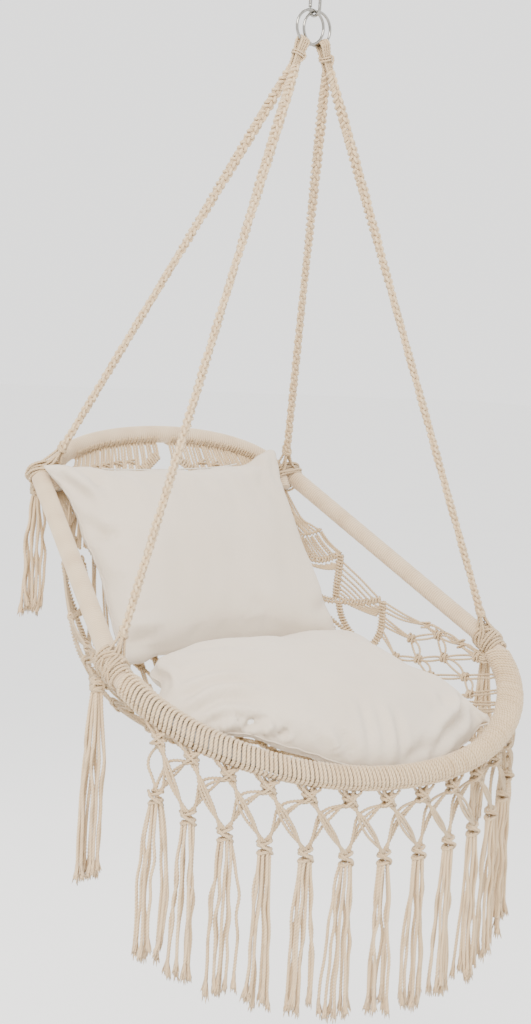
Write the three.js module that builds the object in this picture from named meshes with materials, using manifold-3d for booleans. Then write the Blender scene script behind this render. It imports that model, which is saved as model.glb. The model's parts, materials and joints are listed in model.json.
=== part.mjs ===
// Hammock chair: a cord-wrapped steel frame with a knotted net, a fringe and two cushions.
// Millimetres, +Z up, the sitter faces -Y. In the names, left is -X, as seen from the front.
// The origin is the inside of the snap hook's top bend, where the chair hangs.
import * as THREE from 'three';
import { mergeVertices } from 'three/addons/utils/BufferGeometryUtils.js';
import Module from 'manifold-3d';

const wasm = await Module();
wasm.setup();

// Clearances
const gap = 0.3;            // between touching pieces
const overrun = 2;          // how far a cutter runs past a face
const leastWindingGap = 0.4;

// Snap hook
const hookLength = 50;
const hookWidth = 25;
const hookWire = 4.5;
const noseDrop = 2;         // straight end of the hook's nose
const gateDiameter = 5;
const gateBore = 3.4;
const gateCrown = 3;        // solid end of the gate at the nose
const gatePinDiameter = 1.5;
const gatePinHeight = 3;    // pin above the hook's lower end
const gateFoot = 1.5;       // gate below its pin
const tongueThickness = 1.6;
const tongueWidth = 3.4;
const tongueTip = 1.7;      // tongue above the pin
const springWire = 0.5;
const springDiameter = 2.6;
const springCurls = 5;
const springLift = 0.8;     // from the gate's slot

// Hanging rings and the slings' eyes
const ringOuter = 50;
const ringWire = 4;
const ringLeanDegrees = 26;
const eyeHole = 9.6;
const eyeWall = 4;
const eyeWidth = 8;
const neckDiameter = 12;
const neckLength = 26;
const neckLeanDegrees = 20;
const whippingCord = 3;
const whippingTurns = 3;
const whippingPitch = 3.6;
const whippingDrop = 6;     // from the neck's top

// Frame: places of the tube axes, from the hang point
const frontHalfWidth = 330;
const rearHalfWidth = 230;
const frontCornerY = -85;
const rearCornerY = 272;
const frontCornerZ = -901;
const rearCornerZ = -691;
const hoopDepth = 234;
const hoopTiltDegrees = 33;
const archDepth = 67;
const archTiltDegrees = 59;
const archTail = 24;        // arch past the crossing with the side bar
const barTail = 14;         // side bar past the crossing with the arch
const tubeDiameter = 19;
const tubeWall = 1.2;
const wrapThickness = 2.7;
const hitchThickness = 5.2;
const cornerWrap = 46;      // fine wrap on the hoop beside each front corner
const spigotLength = 70;
const spigotWall = 2;
const plugLength = 24;      // in the bars' rear ends
const archPlugLength = 12;
const boltDiameter = 6;
const boltHead = 11;
const boltHeadHeight = 3;
const boltEnd = 1;          // bolt past its nut
const nutSeatRise = 2.4;    // room for the arch's bend under the nut
const screwDiameter = 3.5;
const screwLength = 5;
const screwHead = 6.5;
const screwHeadHeight = 0.9;

// Ropes, lashings and tassels
const ropeDiameter = 14;
const ropeTip = 6;
const ropeTaper = 45;
const ropeTipSpacing = 6.8;
const frontRopeSettle = 1;  // how far a rope's foot sinks between the lashing's turns
const rearRopeSettle = 2.4;
const lashingCord = 5;
const frontLashingTurns = 5;
const rearLashingTurns = 3;
const lashingPitch = 5.8;
const frontLashingSlack = 2.2;  // room for the bend inside a front lashing
const rearLashingSlack = 4.8;   // room for the crossing tubes inside a rear lashing
const cordDiameter = 3.4;
const knotDiameter = 22;
const knotSettle = 0.2;     // how far a knot sinks between the lashing's turns
const frontTasselLength = 250;
const rearTasselLength = 180;
const tasselCoreRadius = 5.5;
const tasselSpread = 9;

// Net, from the arch down the back, under the seat and up to the hoop
const netThickness = 3;
const archHang = 15;        // net edge under the arch axis
const hoopHang = 13;        // net edge inside the hoop axis
const hoopDip = 11;          // and under it
const netBackDrop = 276;    // how far the back net hangs before it turns, in the middle
const netBackEdgeDrop = 166;
const netBackLean = 134;
const netBackEdgeLean = 117;
const netEdgeSwell = 108;
const netFrontReach = 272;  // how far the seat net runs back before it turns, in the middle
const netFrontEdgeReach = 176;
const netFrontRise = -56;
const netFrontEdgeRise = 33;
const netEdgeTuck = 12;

// Cushions
const seatFrontHalfWidth = 274;
const seatRearHalfWidth = 212;
const seatTipY = -99;
const seatBulge = 150;
const seatRearY = 16;
const seatRearSkew = 42;       // the rear seam's right end lies further back by this
const seatRearShift = -22;
const seatTopHeight = 60;    // above the seam
const seatBottomDepth = 28;
const seatCentreY = -49;
const seatCentreZ = -936;
const seatTiltDegrees = 20;
const seatRollDegrees = 5;
const seatDish = 20;
const backCentreX = -24;
const backRollDegrees = 1.5;
const backWidth = 408;
const backHeight = 322;
const backFrontHeight = 52;
const backRearDepth = 42;
const backArch = 10;        // how far the seat pushes the lower edge up
const backCentreY = 149;
const backCentreZ = -802;
const backTiltDegrees = 54;
const coverWall = 2;
const coverHem = 8;
const insertGap = 1.6;
const caseWall = 2;         // the insert's sewn case, hollow for its loose fibre
const caseHem = 8;
const fillSlitLength = 120;
const zipLength = 200;
const zipWidth = 2.4;
const zipDepth = 2.4;

// Fringe
const fringeStations = 14;
const fringeEndTurnDegrees = 22;
const upperKnotDrop = 30;
const lowerKnotDrop = 104;
const fringeKnotWidth = 16;
const fringeKnotHeight = 14;
const fringeKnotThickness = 9;
const fringeStemWidth = 6;
const bundleWidth = 6;
const bundleThickness = 3;
const bundleOffset = 2.4;
const bundleSpacing = 9;
const fringeLength = 204;
const fringeStrandDiameter = 6;
const fringeStrandSpacing = 8;
const fringeRowSpacing = 5.4;

// Counts, and shares chosen for the shapes
const tubeSides = 8;
const hoopSteps = 18;
const archSteps = 10;
const cushionSteps = 10;
const insertSteps = 8;
const netColumns = 8;
const backNetRows = 4;
const seatNetRows = 5;
const windingSteps = 9;
const windingSides = 5;
const tasselStrands = 7;
const fringeColumns = 2;
const netFoldShare = 0.42;
const netGapShare = 0.68;
const netArchShare = 0.6;
const netHoopShare = 0.93;
const eyeSeatShare = 0.6;
const drawInShare = 0.055;
const crownPowerShare = 0.42;
const tipShare = 0.97;
const frontKnotOutShare = 0.35;
const fringeGatherShare = 0.72;

const degree = Math.PI / 180;
const vec = (x, y, z) => new THREE.Vector3(x, y, z);
const along = (from, direction, length) => from.clone().addScaledVector(direction, length);

// Materials
const finish = (colour, roughness, metalness) =>
  new THREE.MeshStandardMaterial({ color: colour, roughness, metalness });
const chrome = finish(0xc9ccd0, 0.22, 1);
const zinc = finish(0xa9adb0, 0.45, 0.9);
const steel = finish(0x8d9092, 0.5, 0.8);
const plastic = finish(0x2a2a2b, 0.6, 0);
const cotton = finish(0xe0d3bd, 0.95, 0);
const wrapCotton = finish(0xe6dccb, 0.9, 0);
const canvas = finish(0xe9e2d8, 0.92, 0);
const fibre = finish(0xf4f2ee, 1, 0);

// Stations along a path: each has a place and two directions square to the path
function stations(points) {
  const tangents = points.map((point, i) => {
    const before = points[Math.max(i - 1, 0)];
    const after = points[Math.min(i + 1, points.length - 1)];
    return after.clone().sub(before).normalize();
  });
  const first = tangents[0];
  const guide = Math.abs(first.z) < Math.SQRT1_2 ? vec(0, 0, 1) : vec(1, 0, 0);
  let side = guide.addScaledVector(first, -guide.dot(first)).normalize();
  return points.map((point, i) => {
    side = side.clone().addScaledVector(tangents[i], -side.dot(tangents[i])).normalize();
    return { point, tangent: tangents[i], side, up: tangents[i].clone().cross(side) };
  });
}

// Stations at levels along a straight line
function straight(from, direction, levels, like = vec(0, 1, 0)) {
  const side = like.clone().addScaledVector(direction, -like.dot(direction)).normalize();
  const up = direction.clone().cross(side);
  return levels.map((level) => (
    { point: along(from, direction, level), tangent: direction, side, up }));
}

// A path with its ends drawn in
function trimmed(path, start, end) {
  const last = path.length - 1;
  return path.map((station, i) => {
    const move = (i === 0 ? start : 0) - (i === last ? end : 0);
    return { ...station, point: along(station.point, station.tangent, move) };
  });
}

const ringPoints = (station, width, height, sides) => Array.from({ length: sides }, (_, k) => {
  const turn = 2 * Math.PI * (k + 1 / 2) / sides;
  return station.point.clone()
    .addScaledVector(station.side, width * Math.cos(turn))
    .addScaledVector(station.up, height * Math.sin(turn));
});

// Collects points and faces into one geometry
class Shell {
  constructor() {
    this.points = [];
    this.faces = [];
  }

  add(points) {
    const first = this.points.length;
    this.points.push(...points);
    return points.map((_, i) => first + i);
  }

  quad(a, b, c, d) {
    this.faces.push(a, b, c, a, c, d);
  }

  band(lower, upper) {
    lower.forEach((_, k) => {
      const next = (k + 1) % lower.length;
      this.quad(lower[k], lower[next], upper[next], upper[k]);
    });
  }

  fan(ring) {
    for (let k = 1; k < ring.length - 1; k += 1) this.faces.push(ring[0], ring[k], ring[k + 1]);
  }

  geometry() {
    const result = new THREE.BufferGeometry();
    const numbers = this.points.flatMap((point) => [point.x, point.y, point.z]);
    result.setAttribute('position', new THREE.Float32BufferAttribute(numbers, 3));
    result.setIndex(this.faces);
    return result;
  }
}

// A rod along stations. A radius is a number, or a function of the station's index
function rod(shell, path, radius, sides, flatness = 1) {
  const size = typeof radius === 'function' ? radius : () => radius;
  const rings = path.map((station, i) =>
    shell.add(ringPoints(station, size(i), size(i) * flatness, sides)));
  rings.slice(1).forEach((ring, i) => shell.band(rings[i], ring));
  shell.fan([...rings[0]].reverse());
  shell.fan(rings[rings.length - 1]);
}

function rodGeometry(path, radius, sides, flatness) {
  const shell = new Shell();
  rod(shell, path, radius, sides, flatness);
  return shell.geometry();
}

// A tube along stations, open at both ends
function tubeGeometry(path, outer, inner, sides = tubeSides) {
  const shell = new Shell();
  const outside = path.map((station) => shell.add(ringPoints(station, outer, outer, sides)));
  const inside = path.map((station) => shell.add(ringPoints(station, inner, inner, sides)));
  for (let i = 1; i < path.length; i += 1) {
    shell.band(outside[i - 1], outside[i]);
    shell.band([...inside[i - 1]].reverse(), [...inside[i]].reverse());
  }
  const last = path.length - 1;
  shell.band(inside[0], outside[0]);
  shell.band(outside[last], inside[last]);
  return shell.geometry();
}

// Solids for cuts and joins
function solid(geometry) {
  const bare = geometry.clone();
  bare.deleteAttribute('normal');
  bare.deleteAttribute('uv');
  const merged = mergeVertices(bare);
  return new wasm.Manifold(new wasm.Mesh({
    numProp: 3,
    vertProperties: new Float32Array(merged.attributes.position.array),
    triVerts: new Uint32Array(merged.index.array),
  }));
}

function surface(body) {
  const mesh = body.getMesh();
  const result = new THREE.BufferGeometry();
  result.setAttribute('position', new THREE.BufferAttribute(mesh.vertProperties, 3));
  result.setIndex(new THREE.BufferAttribute(mesh.triVerts, 1));
  return result;
}

const cut = (geometry, ...cutters) =>
  surface(cutters.reduce((body, cutter) => body.subtract(solid(cutter)), solid(geometry)));
const join = (geometry, ...others) =>
  surface(others.reduce((body, other) => body.add(solid(other)), solid(geometry)));

function cylinderBetween(from, to, radius, sides) {
  const length = from.distanceTo(to);
  const result = new THREE.CylinderGeometry(radius, radius, length, sides);
  const turn = new THREE.Quaternion().setFromUnitVectors(
    vec(0, 1, 0), to.clone().sub(from).normalize());
  result.applyQuaternion(turn);
  const middle = from.clone().add(to).divideScalar(2);
  return result.translate(middle.x, middle.y, middle.z);
}

// The least distance between strands of a winding, cord surface to cord surface
function leastGap(name, points, pointsInTurn, cord) {
  let least = Infinity;
  points.forEach((point, i) => {
    for (let k = i + Math.ceil(pointsInTurn / 2); k < points.length; k += 1) {
      least = Math.min(least, point.distanceTo(points[k]) - cord);
    }
  });
  console.log(`${name}: least gap to itself ${least.toFixed(2)} mm`);
  if (least <= leastWindingGap) console.log(`${name}: turns are too close`);
}

// One unbroken cord wound round an axis, its ends straight for one diameter. It clears a core
// of the two given radii, so its points lie a little further out than its chords
const windingRadius = (core, cord) => (core + cord / 2) / Math.cos(Math.PI / windingSteps);

function winding(name, centre, axis, across, coreAcross, coreUp, cord, turns, pitch) {
  const up = axis.clone().cross(across).normalize();
  const radiusAcross = windingRadius(coreAcross, cord);
  const radiusUp = windingRadius(coreUp, cord);
  const start = -turns * pitch / 2;
  const count = turns * windingSteps;
  const helix = Array.from({ length: count + 1 }, (_, i) => {
    const turn = 2 * Math.PI * i / windingSteps;
    return along(centre, axis, start + pitch * i / windingSteps)
      .addScaledVector(across, radiusAcross * Math.cos(turn))
      .addScaledVector(up, radiusUp * Math.sin(turn));
  });
  leastGap(name, helix, windingSteps, cord);
  const lead = along(helix[0], helix[0].clone().sub(helix[1]).normalize(), cord);
  const tail = along(helix[count], helix[count].clone().sub(helix[count - 1]).normalize(), cord);
  return rodGeometry(stations([lead, ...helix, tail]), cord / 2, windingSides);
}

const chair = new THREE.Group();
function piece(name, geometry, material) {
  const mesh = new THREE.Mesh(geometry, material.clone());
  mesh.name = name;
  chair.add(mesh);
}

// Snap hook: a wire loop in the YZ plane, closed by a sprung gate
const bendRadius = (hookWidth - hookWire) / 2;
const topBendZ = hookWire / 2 - bendRadius;
const lowBendZ = topBendZ - (hookLength - hookWidth);
const lowWireZ = lowBendZ - bendRadius;
const pinZ = lowBendZ + gatePinHeight;

function bend(centreZ, fromDegrees, toDegrees, steps) {
  return Array.from({ length: steps + 1 }, (_, i) => {
    const turn = (fromDegrees + (toDegrees - fromDegrees) * i / steps) * degree;
    return vec(0, bendRadius * Math.cos(turn), centreZ + bendRadius * Math.sin(turn));
  });
}

function snapHook() {
  const bendSteps = 7;
  const wirePath = [
    vec(0, bendRadius, topBendZ - noseDrop),
    ...bend(topBendZ, 0, 180, bendSteps),
    ...bend(lowBendZ, 180, 360, bendSteps),
  ];
  const wire = rodGeometry(stations(wirePath), hookWire / 2, tubeSides);
  const tongueHeight = gatePinHeight + tongueTip + overrun;
  const tongue = new THREE.BoxGeometry(tongueThickness, tongueWidth, tongueHeight);
  tongue.translate(0, bendRadius, pinZ + tongueTip - tongueHeight / 2);
  const hole = cylinderBetween(
    vec(-hookWire, bendRadius, pinZ), vec(hookWire, bendRadius, pinZ),
    gatePinDiameter / 2 + gap, tubeSides);
  piece('snap_hook', cut(join(wire, tongue), hole), chrome);
}

function gate() {
  const top = topBendZ - noseDrop - gap;
  const foot = pinZ - gateFoot;
  const barrel = cylinderBetween(
    vec(0, bendRadius, foot), vec(0, bendRadius, top), gateDiameter / 2, 10);
  const bore = cylinderBetween(
    vec(0, bendRadius, foot - overrun), vec(0, bendRadius, top - gateCrown),
    gateBore / 2, tubeSides);
  const slotTop = pinZ + Math.hypot(tongueWidth / 2, tongueTip) + gap;
  const slot = new THREE.BoxGeometry(
    tongueThickness + 2 * gap, gateDiameter + 2 * overrun, slotTop - foot + overrun);
  slot.translate(0, bendRadius, (slotTop + foot - overrun) / 2);
  const hole = cylinderBetween(
    vec(-gateDiameter, bendRadius, pinZ), vec(gateDiameter, bendRadius, pinZ),
    gatePinDiameter / 2 + gap, tubeSides);
  piece('hook_gate', cut(barrel, bore, slot, hole), chrome);
  piece('gate_pin', cylinderBetween(
    vec(-gateDiameter / 2, bendRadius, pinZ), vec(gateDiameter / 2, bendRadius, pinZ),
    gatePinDiameter / 2, tubeSides), zinc);

  const springFoot = slotTop + springLift;
  const springTop = top - gateCrown - gap - springWire;
  const centre = vec(0, bendRadius, (springFoot + springTop) / 2);
  const radius = (springDiameter - springWire) / 2;
  const pitch = (springTop - springFoot) / springCurls;
  const steps = 7;
  const helix = Array.from({ length: springCurls * steps + 1 }, (_, i) => {
    const turn = 2 * Math.PI * i / steps;
    return along(centre, vec(0, 0, 1), pitch * (i / steps - springCurls / 2))
      .add(vec(radius * Math.cos(turn), radius * Math.sin(turn), 0));
  });
  leastGap('gate_spring', helix, steps, springWire);
  piece('gate_spring', rodGeometry(stations(helix), springWire / 2, 4), zinc);
}

// Each ring hangs in the hook's low bend and leans to its own side
const ringRadius = (ringOuter - ringWire) / 2;
const hookGroove = bendRadius - hookWire / 2;
const ringSpacing = ringWire / 2 + gap;
const grooveRise = hookGroove - Math.sqrt(hookGroove ** 2 - ringSpacing ** 2);
const ringHang = hookWire / 2 + 2 * gap + grooveRise;

function ringDirection(sign) {
  return vec(sign * Math.sin(ringLeanDegrees * degree), 0, -Math.cos(ringLeanDegrees * degree));
}

function ringCentre(sign) {
  return along(vec(0, sign * ringSpacing, lowWireZ), ringDirection(sign),
    ringRadius - ringWire / 2 - ringHang);
}

const eyeCentre = (sign) => along(ringCentre(sign), ringDirection(sign), ringRadius).setY(0);

function ring(name, sign) {
  const steps = 20;
  const centre = ringCentre(sign);
  const shell = new Shell();
  const rings = Array.from({ length: steps }, (_, i) => {
    const turn = 2 * Math.PI * i / steps;
    const out = vec(Math.cos(turn), 0, Math.sin(turn));
    const station = { point: along(centre, out, ringRadius), side: out, up: vec(0, 1, 0) };
    return shell.add(ringPoints(station, ringWire / 2, ringWire / 2, 6));
  });
  rings.forEach((loop, i) => shell.band(loop, rings[(i + 1) % steps]));
  piece(name, shell.geometry(), chrome);
}

// The folded top of each sling: an eye over the ring's wire and a bound neck below it
const neckDirection = (sign) =>
  vec(sign * Math.sin(neckLeanDegrees * degree), 0, -Math.cos(neckLeanDegrees * degree));
const neckTop = (sign) => along(eyeCentre(sign), neckDirection(sign), eyeHole / 2 + eyeWall * eyeSeatShare);
const neckEnd = (sign) => along(neckTop(sign), neckDirection(sign), neckLength);

function slingEye(side, sign) {
  const profileSteps = 8;
  const radius = (eyeHole + eyeWall) / 2;
  const profile = Array.from({ length: profileSteps + 1 }, (_, i) => {
    const turn = 2 * Math.PI * i / profileSteps;
    return new THREE.Vector2(
      radius + eyeWall / 2 * Math.cos(turn), eyeWidth / 2 * Math.sin(turn));
  });
  const centre = eyeCentre(sign);
  const eye = new THREE.LatheGeometry(profile, 14);
  eye.rotateZ(Math.PI / 2);
  eye.translate(centre.x, centre.y, centre.z);
  const neck = cylinderBetween(neckTop(sign), neckEnd(sign), neckDiameter / 2, 10);
  piece(`sling_eye_${side}`, join(eye, neck), cotton);

  const core = neckDiameter / 2 + gap;
  const middle = along(neckTop(sign), neckDirection(sign),
    whippingDrop + whippingTurns * whippingPitch / 2);
  piece(`whipping_${side}`, winding(`whipping_${side}`, middle, neckDirection(sign), vec(0, 1, 0),
    core, core, whippingCord, whippingTurns, whippingPitch), cotton);
}

// The frame's axis points
const corner = {
  front: (sign) => vec(sign * frontHalfWidth, frontCornerY, frontCornerZ),
  rear: (sign) => vec(sign * rearHalfWidth, rearCornerY, rearCornerZ),
};
const barDirection = (sign) => corner.rear(sign).sub(corner.front(sign)).normalize();
const wrapRadius = tubeDiameter / 2 + gap + wrapThickness;
const hitchRadius = tubeDiameter / 2 + gap + hitchThickness;
const archHalfWidth = rearHalfWidth - 2 * wrapRadius - gap;
const hoopTilt = hoopTiltDegrees * degree;
const archTilt = archTiltDegrees * degree;
const archTailDirection = vec(0, -Math.cos(archTilt), -Math.sin(archTilt));

// turn runs from 0 at the left corner to pi at the right corner
function hoopPoint(turn) {
  const out = hoopDepth * Math.sin(turn);
  return vec(-frontHalfWidth * Math.cos(turn),
    frontCornerY - out * Math.cos(hoopTilt), frontCornerZ - out * Math.sin(hoopTilt));
}

function archPoint(turn) {
  const out = archDepth * Math.sin(turn);
  return vec(-archHalfWidth * Math.cos(turn),
    rearCornerY + out * Math.cos(archTilt), rearCornerZ + out * Math.sin(archTilt));
}

const jointOffset = spigotLength / 2 + screwHead;
const wrapTurn = cornerWrap / hoopDepth;

function hoopPath() {
  const arc = Array.from({ length: hoopSteps + 1 }, (_, i) =>
    hoopPoint(wrapTurn + (Math.PI - 2 * wrapTurn) * i / hoopSteps));
  return stations([
    along(corner.front(-1), barDirection(-1), jointOffset), corner.front(-1), ...arc,
    corner.front(1), along(corner.front(1), barDirection(1), jointOffset),
  ]);
}

function archPath() {
  const arc = Array.from({ length: archSteps + 1 }, (_, i) => archPoint(Math.PI * i / archSteps));
  return stations([
    along(arc[0], archTailDirection, archTail), ...arc,
    along(arc[archSteps], archTailDirection, archTail),
  ]);
}

const hoop = hoopPath();
const arch = archPath();
const sides = [['left', -1], ['right', 1]];

// Stations on a side bar, at distances from the front corner, that continue the hoop's stations
const barLength = corner.rear(1).distanceTo(corner.front(1));
const hoopEnd = (sign) => (sign < 0 ? hoop[0] : hoop[hoop.length - 1]);
function barRun(sign, ...distances) {
  const run = distances.map((distance) => (
    { ...hoopEnd(sign), point: along(corner.front(sign), barDirection(sign), distance) }));
  return sign < 0 ? run.reverse() : run;
}

// The crossing of a side bar with the arch's end, and the bolt through both
const crossing = (sign) =>
  vec(sign * (rearHalfWidth + archHalfWidth) / 2, rearCornerY, rearCornerZ);
const boltReach = 2 * wrapRadius + boltHeadHeight;
const boltHole = (sign, radius) => cylinderBetween(
  along(crossing(sign), vec(-1, 0, 0), boltReach + overrun),
  along(crossing(sign), vec(1, 0, 0), boltReach + overrun), radius, tubeSides);

const screwShares = [-1 / 2, 1 / 2];
const screwPlace = (sign, share) =>
  along(corner.front(sign), barDirection(sign), jointOffset + share * spigotLength / 2);
const screwHole = (sign, share, radius = screwDiameter / 2 + gap) => cylinderBetween(
  screwPlace(sign, share),
  along(screwPlace(sign, share), hoopEnd(sign).side, tubeDiameter), radius, tubeSides);

function frameTubes() {
  const outer = tubeDiameter / 2;
  const inner = outer - tubeWall;
  const boltRadius = (boltDiameter / 2 + gap) / Math.cos(Math.PI / tubeSides);
  piece('front_hoop', cut(tubeGeometry(hoop, outer, inner),
    ...sides.map(([, sign]) => screwHole(sign, screwShares[0]))), steel);
  piece('back_arch', cut(tubeGeometry(arch, outer, inner),
    ...sides.map(([, sign]) => boltHole(sign, boltRadius))), steel);
  for (const [side, sign] of sides) {
    const bar = tubeGeometry(barRun(sign, jointOffset + gap, barLength + barTail), outer, inner);
    piece(`side_bar_${side}`,
      cut(bar, boltHole(sign, boltRadius), screwHole(sign, screwShares[1])), steel);
    const spigotOuter = inner - gap;
    const spigot = tubeGeometry(
      barRun(sign, jointOffset - spigotLength / 2, jointOffset + spigotLength / 2),
      spigotOuter, spigotOuter - spigotWall);
    piece(`joint_spigot_${side}`,
      cut(spigot, ...screwShares.map((share) => screwHole(sign, share))), steel);
    const plug = rodGeometry(
      barRun(sign, barLength + barTail - plugLength, barLength + barTail), inner - gap, tubeSides);
    piece(`bar_end_plug_${side}`, cut(plug, boltHole(sign, boltRadius)), plastic);
    const tail = sign < 0 ? arch[0] : arch[arch.length - 1];
    const depths = sign < 0 ? [0, archPlugLength] : [-archPlugLength, 0];
    const archPlug = depths.map((depth) => (
      { ...tail, point: along(tail.point, tail.tangent, depth) }));
    piece(`arch_end_plug_${side}`, rodGeometry(archPlug, inner - gap, tubeSides), plastic);
  }
}

// Screws that hold the spigots, and the bolts and nuts at the crossings
function fasteners() {
  const flat = tubeDiameter / 2 * Math.cos(Math.PI / tubeSides) + gap;
  const screwLevels = [flat - screwLength, flat, flat, flat + screwHeadHeight];
  const nutSeat = (rearHalfWidth - archHalfWidth) / 2 + tubeDiameter / 2 + nutSeatRise;
  const nutEnd = -nutSeat - boltHeadHeight;
  for (const [side, sign] of sides) {
    for (const [place, share] of [['front', screwShares[0]], ['rear', screwShares[1]]]) {
      piece(`joint_screw_${side}_${place}`, rodGeometry(
        straight(screwPlace(sign, share), hoopEnd(sign).side, screwLevels, vec(0, 0, 1)),
        (i) => (i < 2 ? screwDiameter : screwHead) / 2, 6), zinc);
    }
    const out = vec(sign, 0, 0);
    piece(`crossing_bolt_${side}`, rodGeometry(
      straight(crossing(sign), out,
        [nutEnd - boltEnd, nutSeat, nutSeat, nutSeat + boltHeadHeight]),
      (i) => (i < 2 ? boltDiameter : boltHead) / 2, 6), zinc);
    piece(`crossing_nut_${side}`, tubeGeometry(
      straight(crossing(sign), out, [nutEnd, -nutSeat]),
      boltHead / 2, boltDiameter / 2 + gap, 6), zinc);
  }
}

// Cord wraps on the frame, drawn as plain sleeves
function wraps() {
  const inner = tubeDiameter / 2 + gap;
  const last = hoop.length - 1;
  const screwRecess = (screwHead / 2 + gap) / Math.cos(Math.PI / tubeSides);
  const headHole = (boltHead / 2 + gap) / Math.cos(Math.PI / tubeSides);
  piece('hoop_hitches', tubeGeometry(
    trimmed(hoop.slice(2, last - 1), gap / 2, gap / 2), hitchRadius, inner), cotton);
  piece('arch_wrap', cut(tubeGeometry(arch, wrapRadius, inner),
    ...sides.map(([, sign]) => boltHole(sign, headHole))), wrapCotton);
  for (const [side, sign] of sides) {
    const bar = barRun(sign, barLength + barTail);
    const path = sign < 0
      ? trimmed([...bar, ...hoop.slice(0, 3)], 0, gap / 2)
      : trimmed([...hoop.slice(last - 2), ...bar], gap / 2, 0);
    piece(`bar_wrap_${side}`, cut(tubeGeometry(path, wrapRadius, inner),
      boltHole(sign, headHole),
      ...screwShares.map((share) => screwHole(sign, share, screwRecess))), wrapCotton);
  }
}

// Lashings at the corners, the ropes above them and the tassels below
const frontCore = wrapRadius + frontLashingSlack + gap;
const rearCoreUp = wrapRadius + rearLashingSlack + gap;
const rearCoreAcross = rearCoreUp + (rearHalfWidth - archHalfWidth) / 2;
const frontLashingReach = windingRadius(frontCore, lashingCord) + lashingCord / 2;
const rearLashingReach = windingRadius(rearCoreUp, lashingCord) + lashingCord / 2;
const frontAxis = (sign) => hoop[sign < 0 ? 1 : hoop.length - 2].tangent.clone();
const crossingAxis = (sign) => barDirection(sign).sub(archTailDirection).normalize();

function lashings() {
  for (const [side, sign] of sides) {
    const axis = frontAxis(sign);
    const above = vec(0, 0, 1).addScaledVector(axis, -axis.z).normalize();
    piece(`front_lashing_${side}`, winding(`front_lashing_${side}`, corner.front(sign), axis, above,
      frontCore, frontCore, lashingCord, frontLashingTurns, lashingPitch), cotton);
    const rearAxis = crossingAxis(sign);
    const wide = vec(1, 0, 0).addScaledVector(rearAxis, -rearAxis.x).normalize();
    piece(`rear_lashing_${side}`, winding(`rear_lashing_${side}`, crossing(sign), rearAxis, wide,
      rearCoreAcross, rearCoreUp, lashingCord, rearLashingTurns, lashingPitch), cotton);
  }
}

function rope(name, sign, spacing, foot, axis, clearRadius, settle) {
  const tip = neckEnd(sign).add(vec(0, spacing, 0));
  const direction = foot.clone().sub(tip).normalize();
  const lean = Math.sqrt(1 - direction.dot(neckDirection(sign)) ** 2);
  const start = along(tip, neckDirection(sign), gap + ropeTip / 2 * lean);
  const slant = Math.abs(direction.dot(axis));
  const stop = (clearRadius + gap + ropeDiameter / 2 * slant) / Math.sqrt(1 - slant ** 2);
  const length = start.distanceTo(foot) - stop + settle;
  const run = straight(start, foot.clone().sub(start).normalize(), [0, ropeTaper, length]);
  piece(name, rodGeometry(run, (i) => (i === 0 ? ropeTip : ropeDiameter) / 2, tubeSides), cotton);
}

function ropes() {
  for (const [side, sign] of sides) {
    rope(`rope_front_${side}`, sign, -ropeTipSpacing / 2, corner.front(sign),
      frontAxis(sign), frontLashingReach, frontRopeSettle);
    rope(`rope_rear_${side}`, sign, ropeTipSpacing / 2, crossing(sign),
      crossingAxis(sign), rearLashingReach, rearRopeSettle);
  }
}

function tassel(name, knotCentre, length) {
  const radius = knotDiameter / 2;
  const knot = new THREE.SphereGeometry(radius, 8, 6);
  knot.rotateX(Math.PI / 2);
  knot.translate(knotCentre.x, knotCentre.y, knotCentre.z);
  const outOf = (k) => {
    const turn = 2 * Math.PI * k / tasselStrands;
    return k === tasselStrands ? vec(0, 0, 0) : vec(Math.cos(turn), Math.sin(turn), 0);
  };
  const strands = Array.from({ length: tasselStrands + 1 }, (_, k) => {
    const from = along(knotCentre, outOf(k), tasselCoreRadius).add(vec(0, 0, -radius / 2));
    const to = along(knotCentre, outOf(k), tasselSpread).add(vec(0, 0, -length));
    return rodGeometry(stations([from, to]), cordDiameter / 2, 4);
  });
  piece(name, join(knot, ...strands), cotton);
}

function tassels() {
  for (const [side, sign] of sides) {
    const axis = frontAxis(sign);
    const down = vec(sign * frontKnotOutShare, 0, -1);
    down.addScaledVector(axis, -down.dot(axis)).normalize();
    tassel(`front_tassel_${side}`, along(corner.front(sign), down,
      frontLashingReach - knotSettle + knotDiameter / 2), frontTasselLength);
    const rearAxis = crossingAxis(sign);
    const back = vec(0, 1, -1);
    back.addScaledVector(rearAxis, -back.dot(rearAxis)).normalize();
    tassel(`rear_tassel_${side}`, along(crossing(sign), back,
      rearLashingReach - knotSettle + knotDiameter / 2), rearTasselLength);
  }
}

// The net hangs in a bowl: u runs from -1 to 1 across it, v from 0 at the arch to 1 at the hoop
const blend = (middle, edge, u) => middle + (edge - middle) * u ** 6;

// From a bent tube's axis straight to the inside of its bend
function inward(halfWidth, depth, out, turn) {
  return vec(depth * Math.cos(turn), 0, 0)
    .addScaledVector(out, -halfWidth * Math.sin(turn)).normalize();
}

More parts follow.
